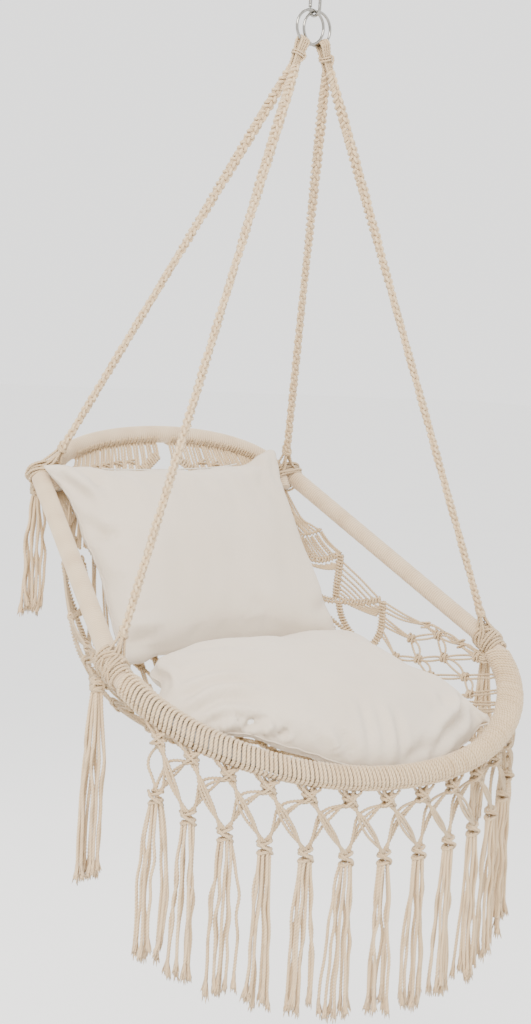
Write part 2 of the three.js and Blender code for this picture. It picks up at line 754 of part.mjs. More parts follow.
function netPoint(u, v) {
  const archTurn = Math.PI / 2 * (1 + u * netArchShare);
  const archOut = archTailDirection.clone().negate();
  const top = along(archPoint(archTurn), inward(archHalfWidth, archDepth, archOut, archTurn),
    archHang);
  const hoopTurn = Math.PI / 2 * (1 + u * netHoopShare);
  const hoopOut = vec(0, -Math.cos(hoopTilt), -Math.sin(hoopTilt));
  const foot = along(hoopPoint(hoopTurn), inward(frontHalfWidth, hoopDepth, hoopOut, hoopTurn),
    hoopHang).add(vec(0, hoopDip * Math.sin(hoopTilt), -hoopDip * Math.cos(hoopTilt)));
  const turnBack = top.clone().add(vec(u * netEdgeSwell,
    -blend(netBackLean, netBackEdgeLean, u), -blend(netBackDrop, netBackEdgeDrop, u)));
  const turnFront = foot.clone().add(vec(-u * netEdgeTuck,
    blend(netFrontReach, netFrontEdgeReach, u), blend(netFrontRise, netFrontEdgeRise, u)));
  return new THREE.CubicBezierCurve3(top, turnBack, turnFront, foot).getPoint(v);
}

function netPanel(name, fromShare, toShare, rows) {
  const shell = new Shell();
  const step = 1 / (netColumns * rows);
  const surfacePoint = (s, t, level) => {
    const u = 2 * s / netColumns - 1;
    const v = fromShare + (toShare - fromShare) * t / rows;
    const across = netPoint(u + step, v).sub(netPoint(u - step, v));
    const down = netPoint(u, v + step).sub(netPoint(u, v - step));
    return along(netPoint(u, v), across.cross(down).normalize(), level * netThickness / 2);
  };
  const nodes = new Map();
  const at = (s, t, level) => {
    const key = `${s.toFixed(3)} ${t.toFixed(3)} ${level}`;
    if (!nodes.has(key)) nodes.set(key, shell.add([surfacePoint(s, t, level)])[0]);
    return nodes.get(key);
  };
  const corners = [[0, 0], [1, 0], [1, 1], [0, 1]];
  for (let column = 0; column < netColumns; column += 1) {
    for (let row = 0; row < rows; row += 1) {
      const outer = corners.map(([i, j]) => [column + i, row + j]);
      const inner = corners.map(([i, j]) => [
        column + 1 / 2 + (i - 1 / 2) * netGapShare, row + 1 / 2 + (j - 1 / 2) * netGapShare]);
      for (let k = 0; k < 4; k += 1) {
        const next = (k + 1) % 4;
        const [a, b, c, d] = [outer[k], outer[next], inner[next], inner[k]];
        shell.quad(at(...a, 1), at(...b, 1), at(...c, 1), at(...d, 1));
        shell.quad(at(...d, -1), at(...c, -1), at(...b, -1), at(...a, -1));
        shell.quad(at(...d, 1), at(...c, 1), at(...c, -1), at(...d, -1));
        const edge = [row === 0, column === netColumns - 1, row === rows - 1, column === 0][k];
        if (edge) shell.quad(at(...b, 1), at(...a, 1), at(...a, -1), at(...b, -1));
      }
    }
  }
  piece(name, shell.geometry(), cotton);
}

function net() {
  const joinShare = 2 * gap / (netBackDrop + netFrontReach);
  netPanel('back_net', 0, netFoldShare - joinShare, backNetRows);
  netPanel('seat_net', netFoldShare + joinShare, 1, seatNetRows);
}

// A cushion from the place of its middle surface, the way its face points and its thickness
const crown = (u, v) => ((1 - u ** 2) * (1 - v ** 2)) ** crownPowerShare;

function padGeometry(middle, facing, heights, share, steps) {
  const shell = new Shell();
  const centre = middle(0, 0);
  const [top, bottom] = heights.map((height) => (
    Array.from({ length: steps + 1 }, (_, j) => (
      Array.from({ length: steps + 1 }, (__, i) => {
        const u = 2 * i / steps - 1;
        const v = 2 * j / steps - 1;
        const place = centre.clone().lerp(middle(u, v), share);
        return shell.add([along(place, facing, height * crown(u, v))])[0];
      })))));
  for (let j = 0; j < steps; j += 1) {
    for (let i = 0; i < steps; i += 1) {
      const cell = [[j, i], [j, i + 1], [j + 1, i + 1], [j + 1, i]];
      if ((i < steps / 2) !== (j < steps / 2)) cell.push(cell.shift());
      shell.quad(...cell.map(([row, column]) => top[row][column]));
      const [first, ...others] = cell.map(([row, column]) => bottom[row][column]);
      shell.quad(first, ...others.reverse());
    }
  }
  return shell.geometry();
}

function cushion(name, middle, facing, heights, halfWidth, halfDepth) {
  const layer = (thinner, hem, steps) => padGeometry(middle, facing,
    heights.map((height) => height - Math.sign(height) * thinner), 1 - hem / halfDepth, steps);
  const outer = layer(0, 0, cushionSteps);
  const hollow = layer(coverWall, coverHem, cushionSteps);
  const caseDepth = coverWall + insertGap;
  const caseEdge = coverHem + insertGap;
  const insert = layer(caseDepth, caseEdge, insertSteps);
  const filling = layer(caseDepth + caseWall, caseEdge + caseHem, insertSteps);
  const rear = middle(0, 1);
  const inward = middle(0, 1 - coverHem / halfDepth).sub(rear).normalize();
  const sideways = middle(zipLength / halfWidth / 4, 1)
    .sub(middle(-zipLength / halfWidth / 4, 1)).normalize();
  const bar = (from, to, length, width) => {
    const box = new THREE.BoxGeometry(length, to - from, width);
    const basis = new THREE.Matrix4().makeBasis(sideways, inward, sideways.clone().cross(inward));
    basis.setPosition(along(rear, inward, (from + to) / 2));
    return box.applyMatrix4(basis);
  };
  const slot = bar(-coverHem, coverHem + coverWall, zipLength, zipWidth);
  piece(`${name}_cover`, cut(outer, hollow, slot), canvas);
  const fillSlit = bar(coverHem, caseEdge + caseHem + caseWall, fillSlitLength, zipWidth);
  piece(`${name}_insert`, cut(insert, filling, fillSlit), fibre);
  piece(`${name}_zip`, bar(coverWall, coverWall + zipDepth, zipLength - 2 * gap,
    zipWidth - 2 * gap), plastic);
}

function seatMiddle(u, v) {
  const share = (1 + v) / 2;
  const drawIn = 1 - drawInShare * (1 - v ** 2);
  const halfWidth = seatFrontHalfWidth + (seatRearHalfWidth - seatFrontHalfWidth) * share;
  const x = u * halfWidth * drawIn + seatRearShift * share;
  const front = seatTipY - seatBulge * Math.sqrt(1 - tipShare * u ** 2);
  const y = front + (seatRearY + seatRearSkew * u - front) * share;
  const z = seatCentreZ + (y - seatCentreY) * Math.tan(seatTiltDegrees * degree)
    + seatDish * u ** 2 - x * Math.tan(seatRollDegrees * degree);
  return vec(x, y, z);
}

function backMiddle(u, v) {
  const tilt = backTiltDegrees * degree;
  const x = u * backWidth / 2 * (1 - drawInShare * (1 - v ** 2));
  const edge = v * backHeight / 2 * (1 - drawInShare * (1 - u ** 2));
  const level = edge + backArch * (1 - u ** 2) * ((1 - v) / 2) ** 2
    + x * Math.tan(backRollDegrees * degree);
  return vec(backCentreX + x, backCentreY + level * Math.cos(tilt), backCentreZ + level * Math.sin(tilt));
}

function cushions() {
  const seatTilt = seatTiltDegrees * degree;
  const backTilt = backTiltDegrees * degree;
  cushion('seat_cushion', seatMiddle, vec(0, -Math.sin(seatTilt), Math.cos(seatTilt)),
    [seatTopHeight, -seatBottomDepth], seatRearHalfWidth, (seatRearY - seatTipY + seatBulge) / 2);
  cushion('back_cushion', backMiddle, vec(0, -Math.sin(backTilt), Math.cos(backTilt)),
    [backFrontHeight, -backRearDepth], backWidth / 2, backHeight / 2);
}

// The fringe: knots under the hoop, crossed cords, a second row of knots and loose strands
const fringeTurn = (k) => {
  const end = fringeEndTurnDegrees * degree;
  return end + (Math.PI - 2 * end) * k / (fringeStations - 1);
};

function fringeFrame(k) {
  const turn = fringeTurn(k);
  const step = Math.PI / fringeStations / 2;
  const tangent = hoopPoint(turn + step).sub(hoopPoint(turn - step)).normalize();
  const across = vec(tangent.x, tangent.y, 0).normalize();
  const level = Math.hypot(tangent.x, tangent.y);
  return { axis: hoopPoint(turn), across, out: vec(across.y, -across.x, 0), level };
}

const fringePlace = (frame, side, forward, drop) =>
  along(along(frame.axis, frame.across, side), frame.out, forward).add(vec(0, 0, -drop));

function fringeKnot(frame, levels, widths) {
  const path = levels.map((drop) => ({
    point: fringePlace(frame, 0, 0, drop), side: frame.across, up: frame.out,
  }));
  return rodGeometry(path, (i) => widths[i] / 2, 6, fringeKnotThickness / fringeKnotWidth);
}

function fringe() {
  const cords = [];
  const frames = Array.from({ length: fringeStations }, (_, k) => fringeFrame(k));
  const half = fringeKnotHeight / 2;
  frames.forEach((frame, k) => {
    const slope = Math.sqrt(1 - frame.level ** 2) / frame.level;
    const stem = hitchRadius / frame.level + gap + fringeStemWidth / 2 * slope;
    cords.push(fringeKnot(frame,
      [stem, upperKnotDrop - half, upperKnotDrop, upperKnotDrop + half],
      [fringeStemWidth, fringeKnotWidth, fringeKnotWidth, bundleSpacing]));
    cords.push(fringeKnot(frame,
      [lowerKnotDrop - half, lowerKnotDrop - half / 2, lowerKnotDrop + half / 2,
        lowerKnotDrop + half],
      [bundleSpacing, fringeKnotWidth, fringeKnotWidth, bundleSpacing]));
    for (const way of [-1, 1]) {
      const target = frames[k + way] ?? frame;
      const end = target === frame ? way : -way;
      const from = fringePlace(frame, way * bundleSpacing / 4, way * bundleOffset,
        upperKnotDrop + half / 2);
      const to = fringePlace(target, end * bundleSpacing / 4, way * bundleOffset,
        lowerKnotDrop - half / 2);
      const levels = [0, from.distanceTo(to)];
      cords.push(rodGeometry(straight(from, to.sub(from).normalize(), levels, frame.across),
        bundleWidth / 2, 4, bundleThickness / bundleWidth));
    }
    for (const row of [-1, 1]) {
      for (let column = 0; column < fringeColumns; column += 1) {
        const side = (column - (fringeColumns - 1) / 2) * fringeStrandSpacing;
        const forward = row * fringeRowSpacing / 2;
        const from = fringePlace(frame, side * fringeGatherShare, forward * fringeGatherShare,
          lowerKnotDrop + half / 2);
        const to = fringePlace(frame, side, forward, lowerKnotDrop + half + fringeLength);
        cords.push(rodGeometry(stations([from, to]), fringeStrandDiameter / 2, 4));
      }
    }
  });
  piece('fringe', join(...cords), cotton);
}

snapHook();
gate();
for (const [side, sign] of sides) {
  ring(`ring_${side}`, sign);
  slingEye(side, sign);
}
ropes();
frameTubes();
fasteners();
wraps();
lashings();
tassels();
net();
cushions();
fringe();

export default chair;
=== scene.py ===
"""Hammock chair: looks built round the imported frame. Lengths are in millimetres until a mesh is made."""
import json
import math
import random

import bpy
import numpy as np
from mathutils import Matrix, Vector


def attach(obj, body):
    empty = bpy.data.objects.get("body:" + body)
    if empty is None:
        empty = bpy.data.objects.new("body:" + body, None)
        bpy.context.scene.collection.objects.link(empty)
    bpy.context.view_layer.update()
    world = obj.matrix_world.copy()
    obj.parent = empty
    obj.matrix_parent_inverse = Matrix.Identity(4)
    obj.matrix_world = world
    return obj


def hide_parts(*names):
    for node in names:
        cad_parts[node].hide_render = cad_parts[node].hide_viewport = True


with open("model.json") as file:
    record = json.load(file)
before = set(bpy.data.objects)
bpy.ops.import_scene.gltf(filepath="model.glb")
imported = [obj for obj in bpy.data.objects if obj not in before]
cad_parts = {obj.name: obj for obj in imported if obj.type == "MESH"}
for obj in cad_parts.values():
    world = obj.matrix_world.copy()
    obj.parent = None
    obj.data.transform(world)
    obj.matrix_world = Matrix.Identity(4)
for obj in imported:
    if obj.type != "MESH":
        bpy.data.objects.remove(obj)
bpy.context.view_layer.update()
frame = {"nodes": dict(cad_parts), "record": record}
nodes = frame["nodes"]
rng = random.Random(11)

MM = 0.001
DEG = math.pi / 180
TAU = 2 * math.pi


def vec(x, y, z):
    return np.array([x, y, z], float)


def unit(a):
    return a / np.linalg.norm(a)


# Frame axes
FRONT_X, FRONT_Y, FRONT_Z = 330, -85, -901
REAR_X, REAR_Y, REAR_Z = 230, 272, -691
HOOP_DEPTH, HOOP_TILT = 234, 33 * DEG
ARCH_HALF, ARCH_DEPTH, ARCH_TILT = 204.7, 67, 59 * DEG
ARCH_TAIL, BAR_TAIL, CORNER_WRAP = 24, 14, 46
WRAP_R, RIB_HEIGHT, RIB_PITCH = 12.9, 1.3, 3.5
HITCH_R, HITCH_PITCH = 13.6, 6.0
CROSS_X = (REAR_X + ARCH_HALF) / 2
SIDES = (("left", -1), ("right", 1))


def hoop_point(turn):
    out = HOOP_DEPTH * math.sin(turn)
    return vec(-FRONT_X * math.cos(turn), FRONT_Y - out * math.cos(HOOP_TILT),
               FRONT_Z - out * math.sin(HOOP_TILT))


def hoop_end(sign, turn):
    """The hoop's point at a turn from its left or right end."""
    return hoop_point(turn if sign < 0 else math.pi - turn)


def arch_point(turn):
    out = ARCH_DEPTH * math.sin(turn)
    return vec(-ARCH_HALF * math.cos(turn), REAR_Y + out * math.cos(ARCH_TILT),
               REAR_Z + out * math.sin(ARCH_TILT))


def front_corner(sign):
    return vec(sign * FRONT_X, FRONT_Y, FRONT_Z)


def rear_corner(sign):
    return vec(sign * REAR_X, REAR_Y, REAR_Z)


def crossing(sign):
    return vec(sign * CROSS_X, REAR_Y, REAR_Z)


def bar_direction(sign):
    return unit(rear_corner(sign) - front_corner(sign))


HOOP_OUT = vec(0, -math.cos(HOOP_TILT), -math.sin(HOOP_TILT))
ARCH_OUT = vec(0, math.cos(ARCH_TILT), math.sin(ARCH_TILT))
DOWN = vec(0, 0, -1)


# Mesh tools
def smooth_path(points, step):
    """Points on a smooth curve through the given ones, about step apart, and how far along it they lie."""
    p = np.asarray(points, float)
    p = np.vstack([2 * p[0] - p[1], p, 2 * p[-1] - p[-2]])
    spans = len(p) - 3
    t = np.linspace(0, spans, spans * 8 + 1)
    i = np.minimum(t.astype(int), spans - 1)
    f = (t - i)[:, None]
    a, b, c, d = p[i], p[i + 1], p[i + 2], p[i + 3]
    fine = 0.5 * (2 * b + (c - a) * f + (2 * a - 5 * b + 4 * c - d) * f**2
                  + (3 * b - a - 3 * c + d) * f**3)
    run = distance_along(fine)
    s = np.linspace(0, run[-1], max(3, round(run[-1] / step) + 1))
    return np.stack([np.interp(s, run, fine[:, k]) for k in range(3)], 1), s


def distance_along(points):
    """How far each point lies along the line through them all."""
    return np.r_[0, np.cumsum(np.linalg.norm(np.diff(points, axis=0), axis=1))]


def transport(points, guide=None):
    """Tangent and two directions square to it, turning as little as possible."""
    t = np.gradient(points, axis=0)
    t /= np.linalg.norm(t, axis=1)[:, None]
    if guide is None or abs(t[0] @ guide) > 0.95:
        guide = vec(0, 0, 1) if abs(t[0][2]) < 0.7 else vec(1, 0, 0)
    side = np.zeros_like(t)
    s = np.array(guide, float)
    for i, tangent in enumerate(t):
        s = s - tangent * float(s.dot(tangent))
        s = s / math.sqrt(float(s.dot(s)))
        side[i] = s
    return t, side, np.cross(t, side)


def make_mesh(name, verts, quads, tris=np.zeros((0, 3), int), uvs=None, yarn=None):
    """A smooth mesh. uvs has a row for each corner of the faces, and yarn one for each point."""
    mesh = bpy.data.meshes.new(name)
    mesh.vertices.add(len(verts))
    mesh.vertices.foreach_set("co", (verts * MM).astype(np.float32).ravel())
    corners = np.concatenate([quads.ravel(), tris.ravel()]).astype(np.int32)
    starts = np.r_[np.arange(len(quads)) * 4, len(quads) * 4 + np.arange(len(tris)) * 3].astype(np.int32)
    mesh.loops.add(len(corners))
    mesh.loops.foreach_set("vertex_index", corners)
    mesh.polygons.add(len(starts))
    mesh.polygons.foreach_set("loop_start", starts)
    mesh.polygons.foreach_set("use_smooth", np.ones(len(starts), bool))
    if uvs is not None:
        layer = mesh.uv_layers.new(name="lay")
        layer.data.foreach_set("uv", uvs.astype(np.float32).ravel())
    mesh.update(calc_edges=True)
    if yarn is not None:
        attribute = mesh.attributes.new("yarn", "FLOAT_COLOR", "POINT")
        attribute.data.foreach_set("color", yarn.astype(np.float32).ravel())
    return mesh


def new_object(name, data):
    made = bpy.data.objects.new(name, data)
    bpy.context.scene.collection.objects.link(made)
    return made


def add_object(name, mesh, material, body, replaced):
    """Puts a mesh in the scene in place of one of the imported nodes."""
    obj = new_object(name, mesh)
    mesh.materials.append(material)
    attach(obj, body)
    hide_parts(replaced)
    return obj


def sweep(path, side, up, size, turn):
    """Rings of points round a path, at the given distances and turns."""
    return (path[:, None, :] + (size * np.cos(turn))[..., None] * side[:, None, :]
            + (size * np.sin(turn))[..., None] * up[:, None, :])


def tube_faces(count, sides, first=0):
    """The walls and end fans of a tube, whose rings are numbered from first, with its two end points last."""
    base = first + np.arange(count * sides).reshape(count, sides)
    nxt = np.roll(base, -1, axis=1)
    quads = np.stack([base[:-1], nxt[:-1], nxt[1:], base[1:]], -1).reshape(-1, 4)
    middle = np.full(sides, first + count * sides)
    ends = np.stack([middle, nxt[0], base[0]], 1), np.stack([middle + 1, base[-1], nxt[-1]], 1)
    return quads, np.concatenate(ends)


def tube_uvs(along, sides):
    """For each wall of a tube: round it from 0 to 1, and along it by the given values."""
    u0 = np.broadcast_to(np.arange(sides) / sides, (len(along) - 1, sides))
    u1 = u0 + 1 / sides
    v0, v1 = (np.broadcast_to(v[:, None], u0.shape) for v in (along[:-1], along[1:]))
    return np.stack([u0, v0, u1, v0, u1, v1, u0, v1], -1).reshape(-1, 2)


def loop_of(place, steps):
    """The places round a closed loop, given for a turn from 0 to 2 pi."""
    loop = [place(t) for t in np.linspace(0, TAU, steps + 1)[:-1]]
    return [*loop, loop[0]]


class Cords:
    """Collects twisted cords into one mesh. yarn holds a tone for each cord and the depth in its grooves,
    which sets the painted shade there.
    """

    def __init__(self):
        self.verts, self.quads, self.tris, self.uvs, self.yarn = ([] for _ in range(5))
        self.count = 0

    def add(self, points, radius=2.3, lay=13.5, step=2.0, plies=3, groove=0.3, tip=1.0, sides=None,
            swell=None):
        """A cord along the points: lay is the length of one full twist, and tip how thin its ends are."""
        path, run = smooth_path(points, step)
        sides = sides or 2 * plies
        _, side, up = transport(path)
        twist = rng.random() * TAU + TAU * run / lay
        angle = TAU * np.arange(sides) / sides
        lobe = 0.5 - 0.5 * np.cos(plies * angle)
        fade = np.ones(len(path)) if swell is None else swell(run / run[-1])
        fade[[0, -1]] *= tip
        rings = sweep(path, side, up, radius * (1 - groove * lobe) * fade[:, None], twist[:, None] + angle)
        quads, tris = tube_faces(len(path), sides, self.count)
        colour = np.zeros((len(path) * sides + 2, 4))
        colour[:, 0] = rng.random()
        # green: depth in the groove, read by the cord materials as painted shade
        colour[:-2, 1] = np.tile(lobe, len(path))
        colour[:, 3] = 1
        self.verts += [rings.reshape(-1, 3), path[:1], path[-1:]]
        self.quads.append(quads)
        self.tris.append(tris)
        self.uvs.append(tube_uvs(run / lay, sides))
        self.yarn.append(colour)
        self.count += len(colour)
        return path

    def build(self, name, replaced, material=None, body="chair", slot="cotton_cord"):
        tris = np.concatenate(self.tris)
        uvs = np.concatenate([*self.uvs, np.zeros((len(tris) * 3, 2))])
        mesh = make_mesh(name, np.concatenate(self.verts), np.concatenate(self.quads), tris, uvs,
                         np.concatenate(self.yarn))
        return add_object(name, mesh, material or cotton, body, replaced)


def ribbed_sleeve(name, path, guide, replaced):
    """A tube wound with fine cord: one rib to each turn."""
    points, run = smooth_path(path, RIB_PITCH / 5)
    _, side, up = transport(points, guide)
    sides = 22
    angle = TAU * np.arange(sides) / sides
    wave = np.abs(np.sin(math.pi * (run[:, None] / RIB_PITCH - angle / TAU)))
    wobble = 0.12 * np.sin(run * 0.31)[:, None] * np.cos(angle)
    verts = sweep(points, side, up, WRAP_R + RIB_HEIGHT * (wave - 1) + wobble, angle).reshape(-1, 3)
    quads, tris = tube_faces(len(points), sides)
    uvs = np.vstack([tube_uvs(run / RIB_PITCH, sides), np.zeros((len(tris) * 3, 2))])
    yarn = np.zeros((len(verts) + 2, 4))
    yarn[:-2, 0] = np.repeat(0.5 + 0.4 * np.sin(run * 0.13), sides)
    # green: painted shade in the hollows between the ribs
    yarn[:-2, 1] = (1 - wave).ravel()
    yarn[:, 3] = 1
    mesh = make_mesh(name, np.vstack([verts, points[0], points[-1]]), quads, tris, uvs, yarn)
    add_object(name, mesh, fine_wrap, "chair", replaced)


# Materials
def new_material(name):
    material = bpy.data.materials.new(name)
    material.use_nodes = True
    tree = material.node_tree
    shader = tree.nodes["Principled BSDF"]
    return material, tree, shader


def node(tree, kind, inputs=(), **settings):
    made = tree.nodes.new(kind)
    for key, value in settings.items():
        setattr(made, key, value)
    for key, value in dict(inputs).items():
        if isinstance(value, bpy.types.NodeSocket):
            tree.links.new(value, made.inputs[key])
        else:
            made.inputs[key].default_value = value
    return made


def object_place(tree):
    return node(tree, "ShaderNodeTexCoord").outputs["Object"]


def stretched(tree, place, scale):
    return node(tree, "ShaderNodeMapping", {"Vector": place, "Scale": scale}).outputs["Vector"]


def math_node(tree, operation, a, b):
    return node(tree, "ShaderNodeMath", {0: a, 1: b}, operation=operation).outputs[0]


def ramp(tree, factor, low, high, dark, light):
    """The colour dark up to a factor of low, and light from high on."""
    made = node(tree, "ShaderNodeValToRGB", {"Fac": factor})
    for element, place, colour in zip(made.color_ramp.elements, (low, high), (dark, light)):
        element.position = place
        element.color = (*colour, 1)
    return made.outputs["Color"]


def mix(tree, factor, a, b):
    """Colour a blended towards colour b."""
    a, b = (value if isinstance(value, bpy.types.NodeSocket) else (*value, 1) for value in (a, b))
    return node(tree, "ShaderNodeMix", {0: factor, 6: a, 7: b}, data_type="RGBA").outputs[2]


def noise(tree, vector, scale, detail=3.0, rough=0.55):
    inputs = {"Vector": vector, "Scale": scale, "Detail": detail, "Roughness": rough}
    return node(tree, "ShaderNodeTexNoise", inputs).outputs["Fac"]


def roughen(tree, shader, value, low, high):
    span = node(tree, "ShaderNodeMapRange", {"Value": value, "To Min": low, "To Max": high})
    tree.links.new(span.outputs["Result"], shader.inputs["Roughness"])


def soften(shader, sheen, sheen_rough, specular):
    """The dull sheen of cotton."""
    shader.inputs["Sheen Weight"].default_value = sheen
    shader.inputs["Sheen Roughness"].default_value = sheen_rough
    shader.inputs["Specular IOR Level"].default_value = specular


def bump(tree, height, distance, strength, normal=None):
    made = node(tree, "ShaderNodeBump", {"Height": height, "Distance": distance, "Strength": strength})
    if normal is not None:
        tree.links.new(normal, made.inputs["Normal"])
    return made.outputs["Normal"]


def cord_material(name, light, dark, painted_groove_shade, fibre_scale=(6.0, 1.4)):
    """Twisted cotton: tone for each cord, painted shade in the grooves between the plies, fibres that run
    with the plies.
    """
    material, tree, shader = new_material(name)
    place = object_place(tree)
    yarn = node(tree, "ShaderNodeAttribute", attribute_name="yarn")
    split = node(tree, "ShaderNodeSeparateColor", {"Color": yarn.outputs["Color"]})
    lay = node(tree, "ShaderNodeUVMap", uv_map="lay").outputs["UV"]
    fibre = noise(tree, stretched(tree, lay, (*fibre_scale, 1)), 7.0, 4.0, 0.7)
    patch = noise(tree, place, 26.0, 2.0)
    speck = noise(tree, place, 900.0, 2.0)
    base = ramp(tree, patch, 0.3, 0.72, dark, light)
    toned = mix(tree, split.outputs["Red"], base, light)
    fibred = mix(tree, ramp(tree, fibre, 0.35, 0.75, (0, 0, 0), (0.45,) * 3), toned, dark)
    # painted shade: the yarn's green channel, the depth in a groove, darkens the colour towards the groove
    # colour
    deep = math_node(tree, "MULTIPLY", math_node(tree, "POWER", split.outputs["Green"], 1.6), 0.55)
    tree.links.new(mix(tree, deep, fibred, painted_groove_shade), shader.inputs["Base Color"])
    roughen(tree, shader, speck, 0.82, 0.98)
    soften(shader, 0.25, 0.6, 0.18)
    tree.links.new(bump(tree, speck, 0.0003, 0.4, bump(tree, fibre, 0.0006, 0.55)), shader.inputs["Normal"])
    return material


def canvas_material():
    """Plain-woven canvas: crossed threads with painted shade between them, slubs and a faint mottle."""
    material, tree, shader = new_material("canvas")
    place = object_place(tree)
    tiny = node(tree, "ShaderNodeVectorMath", {0: noise(tree, place, 60.0, 2.0), 1: (0.0012,) * 3},
                operation="MULTIPLY")
    bent = node(tree, "ShaderNodeVectorMath", {0: place, 1: tiny.outputs["Vector"]}, operation="ADD")
    inputs = {"Vector": bent.outputs["Vector"], "Scale": 300.0, "Distortion": 0.6, "Detail": 1.0}
    weave = math_node(tree, "MULTIPLY", *[
        node(tree, "ShaderNodeTexWave", inputs, bands_direction=direction, wave_type="BANDS").outputs["Fac"]
        for direction in ("X", "Z")])
    slub = noise(tree, stretched(tree, place, (8, 8, 150)), 9.0, 3.0)
    mottle = noise(tree, place, 7.0, 3.0)
    base = ramp(tree, mottle, 0.3, 0.7, (0.68, 0.59, 0.48), (0.735, 0.65, 0.54))
    # painted shade: where the crossed threads leave openings the colour is darkened
    weave_gap_shade = ramp(tree, weave, 0.0, 0.8, (0.35,) * 3, (0, 0, 0))
    slubs = ramp(tree, slub, 0.62, 0.8, (0, 0, 0), (0.35,) * 3)
    threads = mix(tree, weave_gap_shade, base, (0.54, 0.455, 0.36))
    tree.links.new(mix(tree, slubs, threads, (0.66, 0.57, 0.46)), shader.inputs["Base Color"])
    roughen(tree, shader, slub, 0.86, 0.98)
    soften(shader, 0.2, 0.5, 0.15)
    tree.links.new(bump(tree, slub, 0.0008, 0.25, bump(tree, weave, 0.0004, 0.5)), shader.inputs["Normal"])
    return material


def drawn_material(name, light, dark, rough_low, rough_high, metallic=1.0, scale=180.0):
    """Metal, plastic or felt with faint streaks along its height."""
    material, tree, shader = new_material(name)
    streak = noise(tree, stretched(tree, object_place(tree), (1, 1, 0.15)), scale, 4.0, 0.65)
    tree.links.new(ramp(tree, streak, 0.3, 0.75, dark, light), shader.inputs["Base Color"])
    roughen(tree, shader, streak, rough_low, rough_high)
    shader.inputs["Metallic"].default_value = metallic
    tree.links.new(bump(tree, streak, 0.0001, 0.15), shader.inputs["Normal"])
    return material


# the third colour of each cord material is painted shade for the grooves between its plies
cotton = cord_material("cotton_cord", (0.74, 0.575, 0.36), (0.62, 0.45, 0.26), (0.29, 0.17, 0.075))
fine_wrap = cord_material("wrap_cord", (0.70, 0.56, 0.385), (0.59, 0.45, 0.295), (0.27, 0.165, 0.08),
                          (22.0, 1.0))
frayed = cord_material("frayed_ends", (0.75, 0.57, 0.36), (0.65, 0.47, 0.275), (0.42, 0.28, 0.14))
canvas = canvas_material()
chrome = drawn_material("chrome", (0.36, 0.345, 0.315), (0.26, 0.25, 0.225), 0.10, 0.22)
zinc = drawn_material("zinc", (0.62, 0.63, 0.64), (0.45, 0.46, 0.47), 0.35, 0.55)
steel = drawn_material("steel_tube", (0.50, 0.50, 0.50), (0.34, 0.33, 0.32), 0.35, 0.6)
plastic = drawn_material("plastic", (0.045, 0.045, 0.046), (0.025, 0.025, 0.025), 0.45, 0.7, 0.0, 400.0)
fibre_fill = drawn_material("fibre_fill", (0.86, 0.85, 0.83), (0.74, 0.72, 0.70), 0.9, 1.0, 0.0, 120.0)
pale_plastic = drawn_material("pale_plastic", (0.74, 0.69, 0.61), (0.64, 0.59, 0.51), 0.7, 0.9, 0.0, 300.0)

BY_SLOT = {"chrome": chrome, "zinc": zinc, "steel_tube": steel, "plastic": plastic,
           "cotton_cord": cotton, "wrap_cord": fine_wrap, "cushion_cloth": canvas, "fibre_fill": fibre_fill}
slot_of = {part["node"]: part["material_slot"] for part in frame["record"]["subparts"]}
for name, obj in nodes.items():
    obj.data.materials.clear()
    obj.data.materials.append(pale_plastic if name.startswith("arch_end_plug") else BY_SLOT[slot_of[name]])

# Camera
CAMERA_PLACE = vec(-1678.0, -2058.8, -478.1) * MM
YAW, PITCH, ROLL = -38.62 * DEG, 5.19 * DEG, 3.42 * DEG
FOCAL_PIXELS, LONG_SIDE, SENSOR = 1927.8, 1024, 36.0


def make_camera():
    back = vec(math.sin(YAW) * math.cos(PITCH), -math.cos(YAW) * math.cos(PITCH), math.sin(PITCH))
    level = vec(math.cos(YAW), math.sin(YAW), 0)
    above = np.cross(level, -back)
    right = math.cos(ROLL) * level + math.sin(ROLL) * above
    up = math.cos(ROLL) * above - math.sin(ROLL) * level
    data = bpy.data.cameras.new("camera")
    data.sensor_width = SENSOR
    data.lens = FOCAL_PIXELS * SENSOR / LONG_SIDE
    camera = new_object("camera", data)
    turn = Matrix([list(row) for row in np.stack([right, up, back], 1)]).to_4x4()
    camera.matrix_world = Matrix.Translation(Vector(CAMERA_PLACE)) @ turn
    bpy.context.scene.camera = camera


make_camera()

# Hook and rings
WIRE_R, HOOK_R, TOP_BEND, LOW_BEND = 2.25, 10.25, -8.0, -33.0
RING_R, RING_WIRE_R = 23.0, 2.0
RING_LEAN, RING_GAP, RING_HANG = 26 * DEG, 2.3, 17.81
NECK_LEAN, NECK_LENGTH = 20 * DEG, 33.2


def round_rod(points, radius, sides=16, step=1.0, swell=None):
    """A wire or a barrel with round ends."""
    path, run = smooth_path(points, step)
    _, side, up = transport(path, vec(1, 0, 0))
    size = np.full(len(path), float(radius))
    if swell is not None:
        size = size * swell(run / run[-1])
    depth = np.clip(np.minimum(run, run[-1] - run) / radius, 0, 1)
    size = size * np.sqrt(np.clip(1 - (1 - depth) ** 2, 0.02, 1))
    rings = sweep(path, side, up, size[:, None], TAU * np.arange(sides) / sides)
    return np.vstack([rings.reshape(-1, 3), path[0], path[-1]]), *tube_faces(len(path), sides)


def on_hook(z):
    """A place in line with the hook's gate."""
    return vec(0, HOOK_R, z)


def arc_points(centre_z, start, end, steps=14):
    turns = np.linspace(start, end, steps + 1) * DEG
    return [vec(0, HOOK_R * math.cos(t), centre_z + HOOK_R * math.sin(t)) for t in turns]


def joined(*parts):
    verts, quads, tris, count = [], [], [], 0
    for part_verts, part_quads, part_tris in parts:
        verts.append(part_verts)
        quads.append(part_quads + count)
        tris.append(part_tris + count)
        count += len(part_verts)
    return np.concatenate(verts), np.concatenate(quads), np.concatenate(tris)


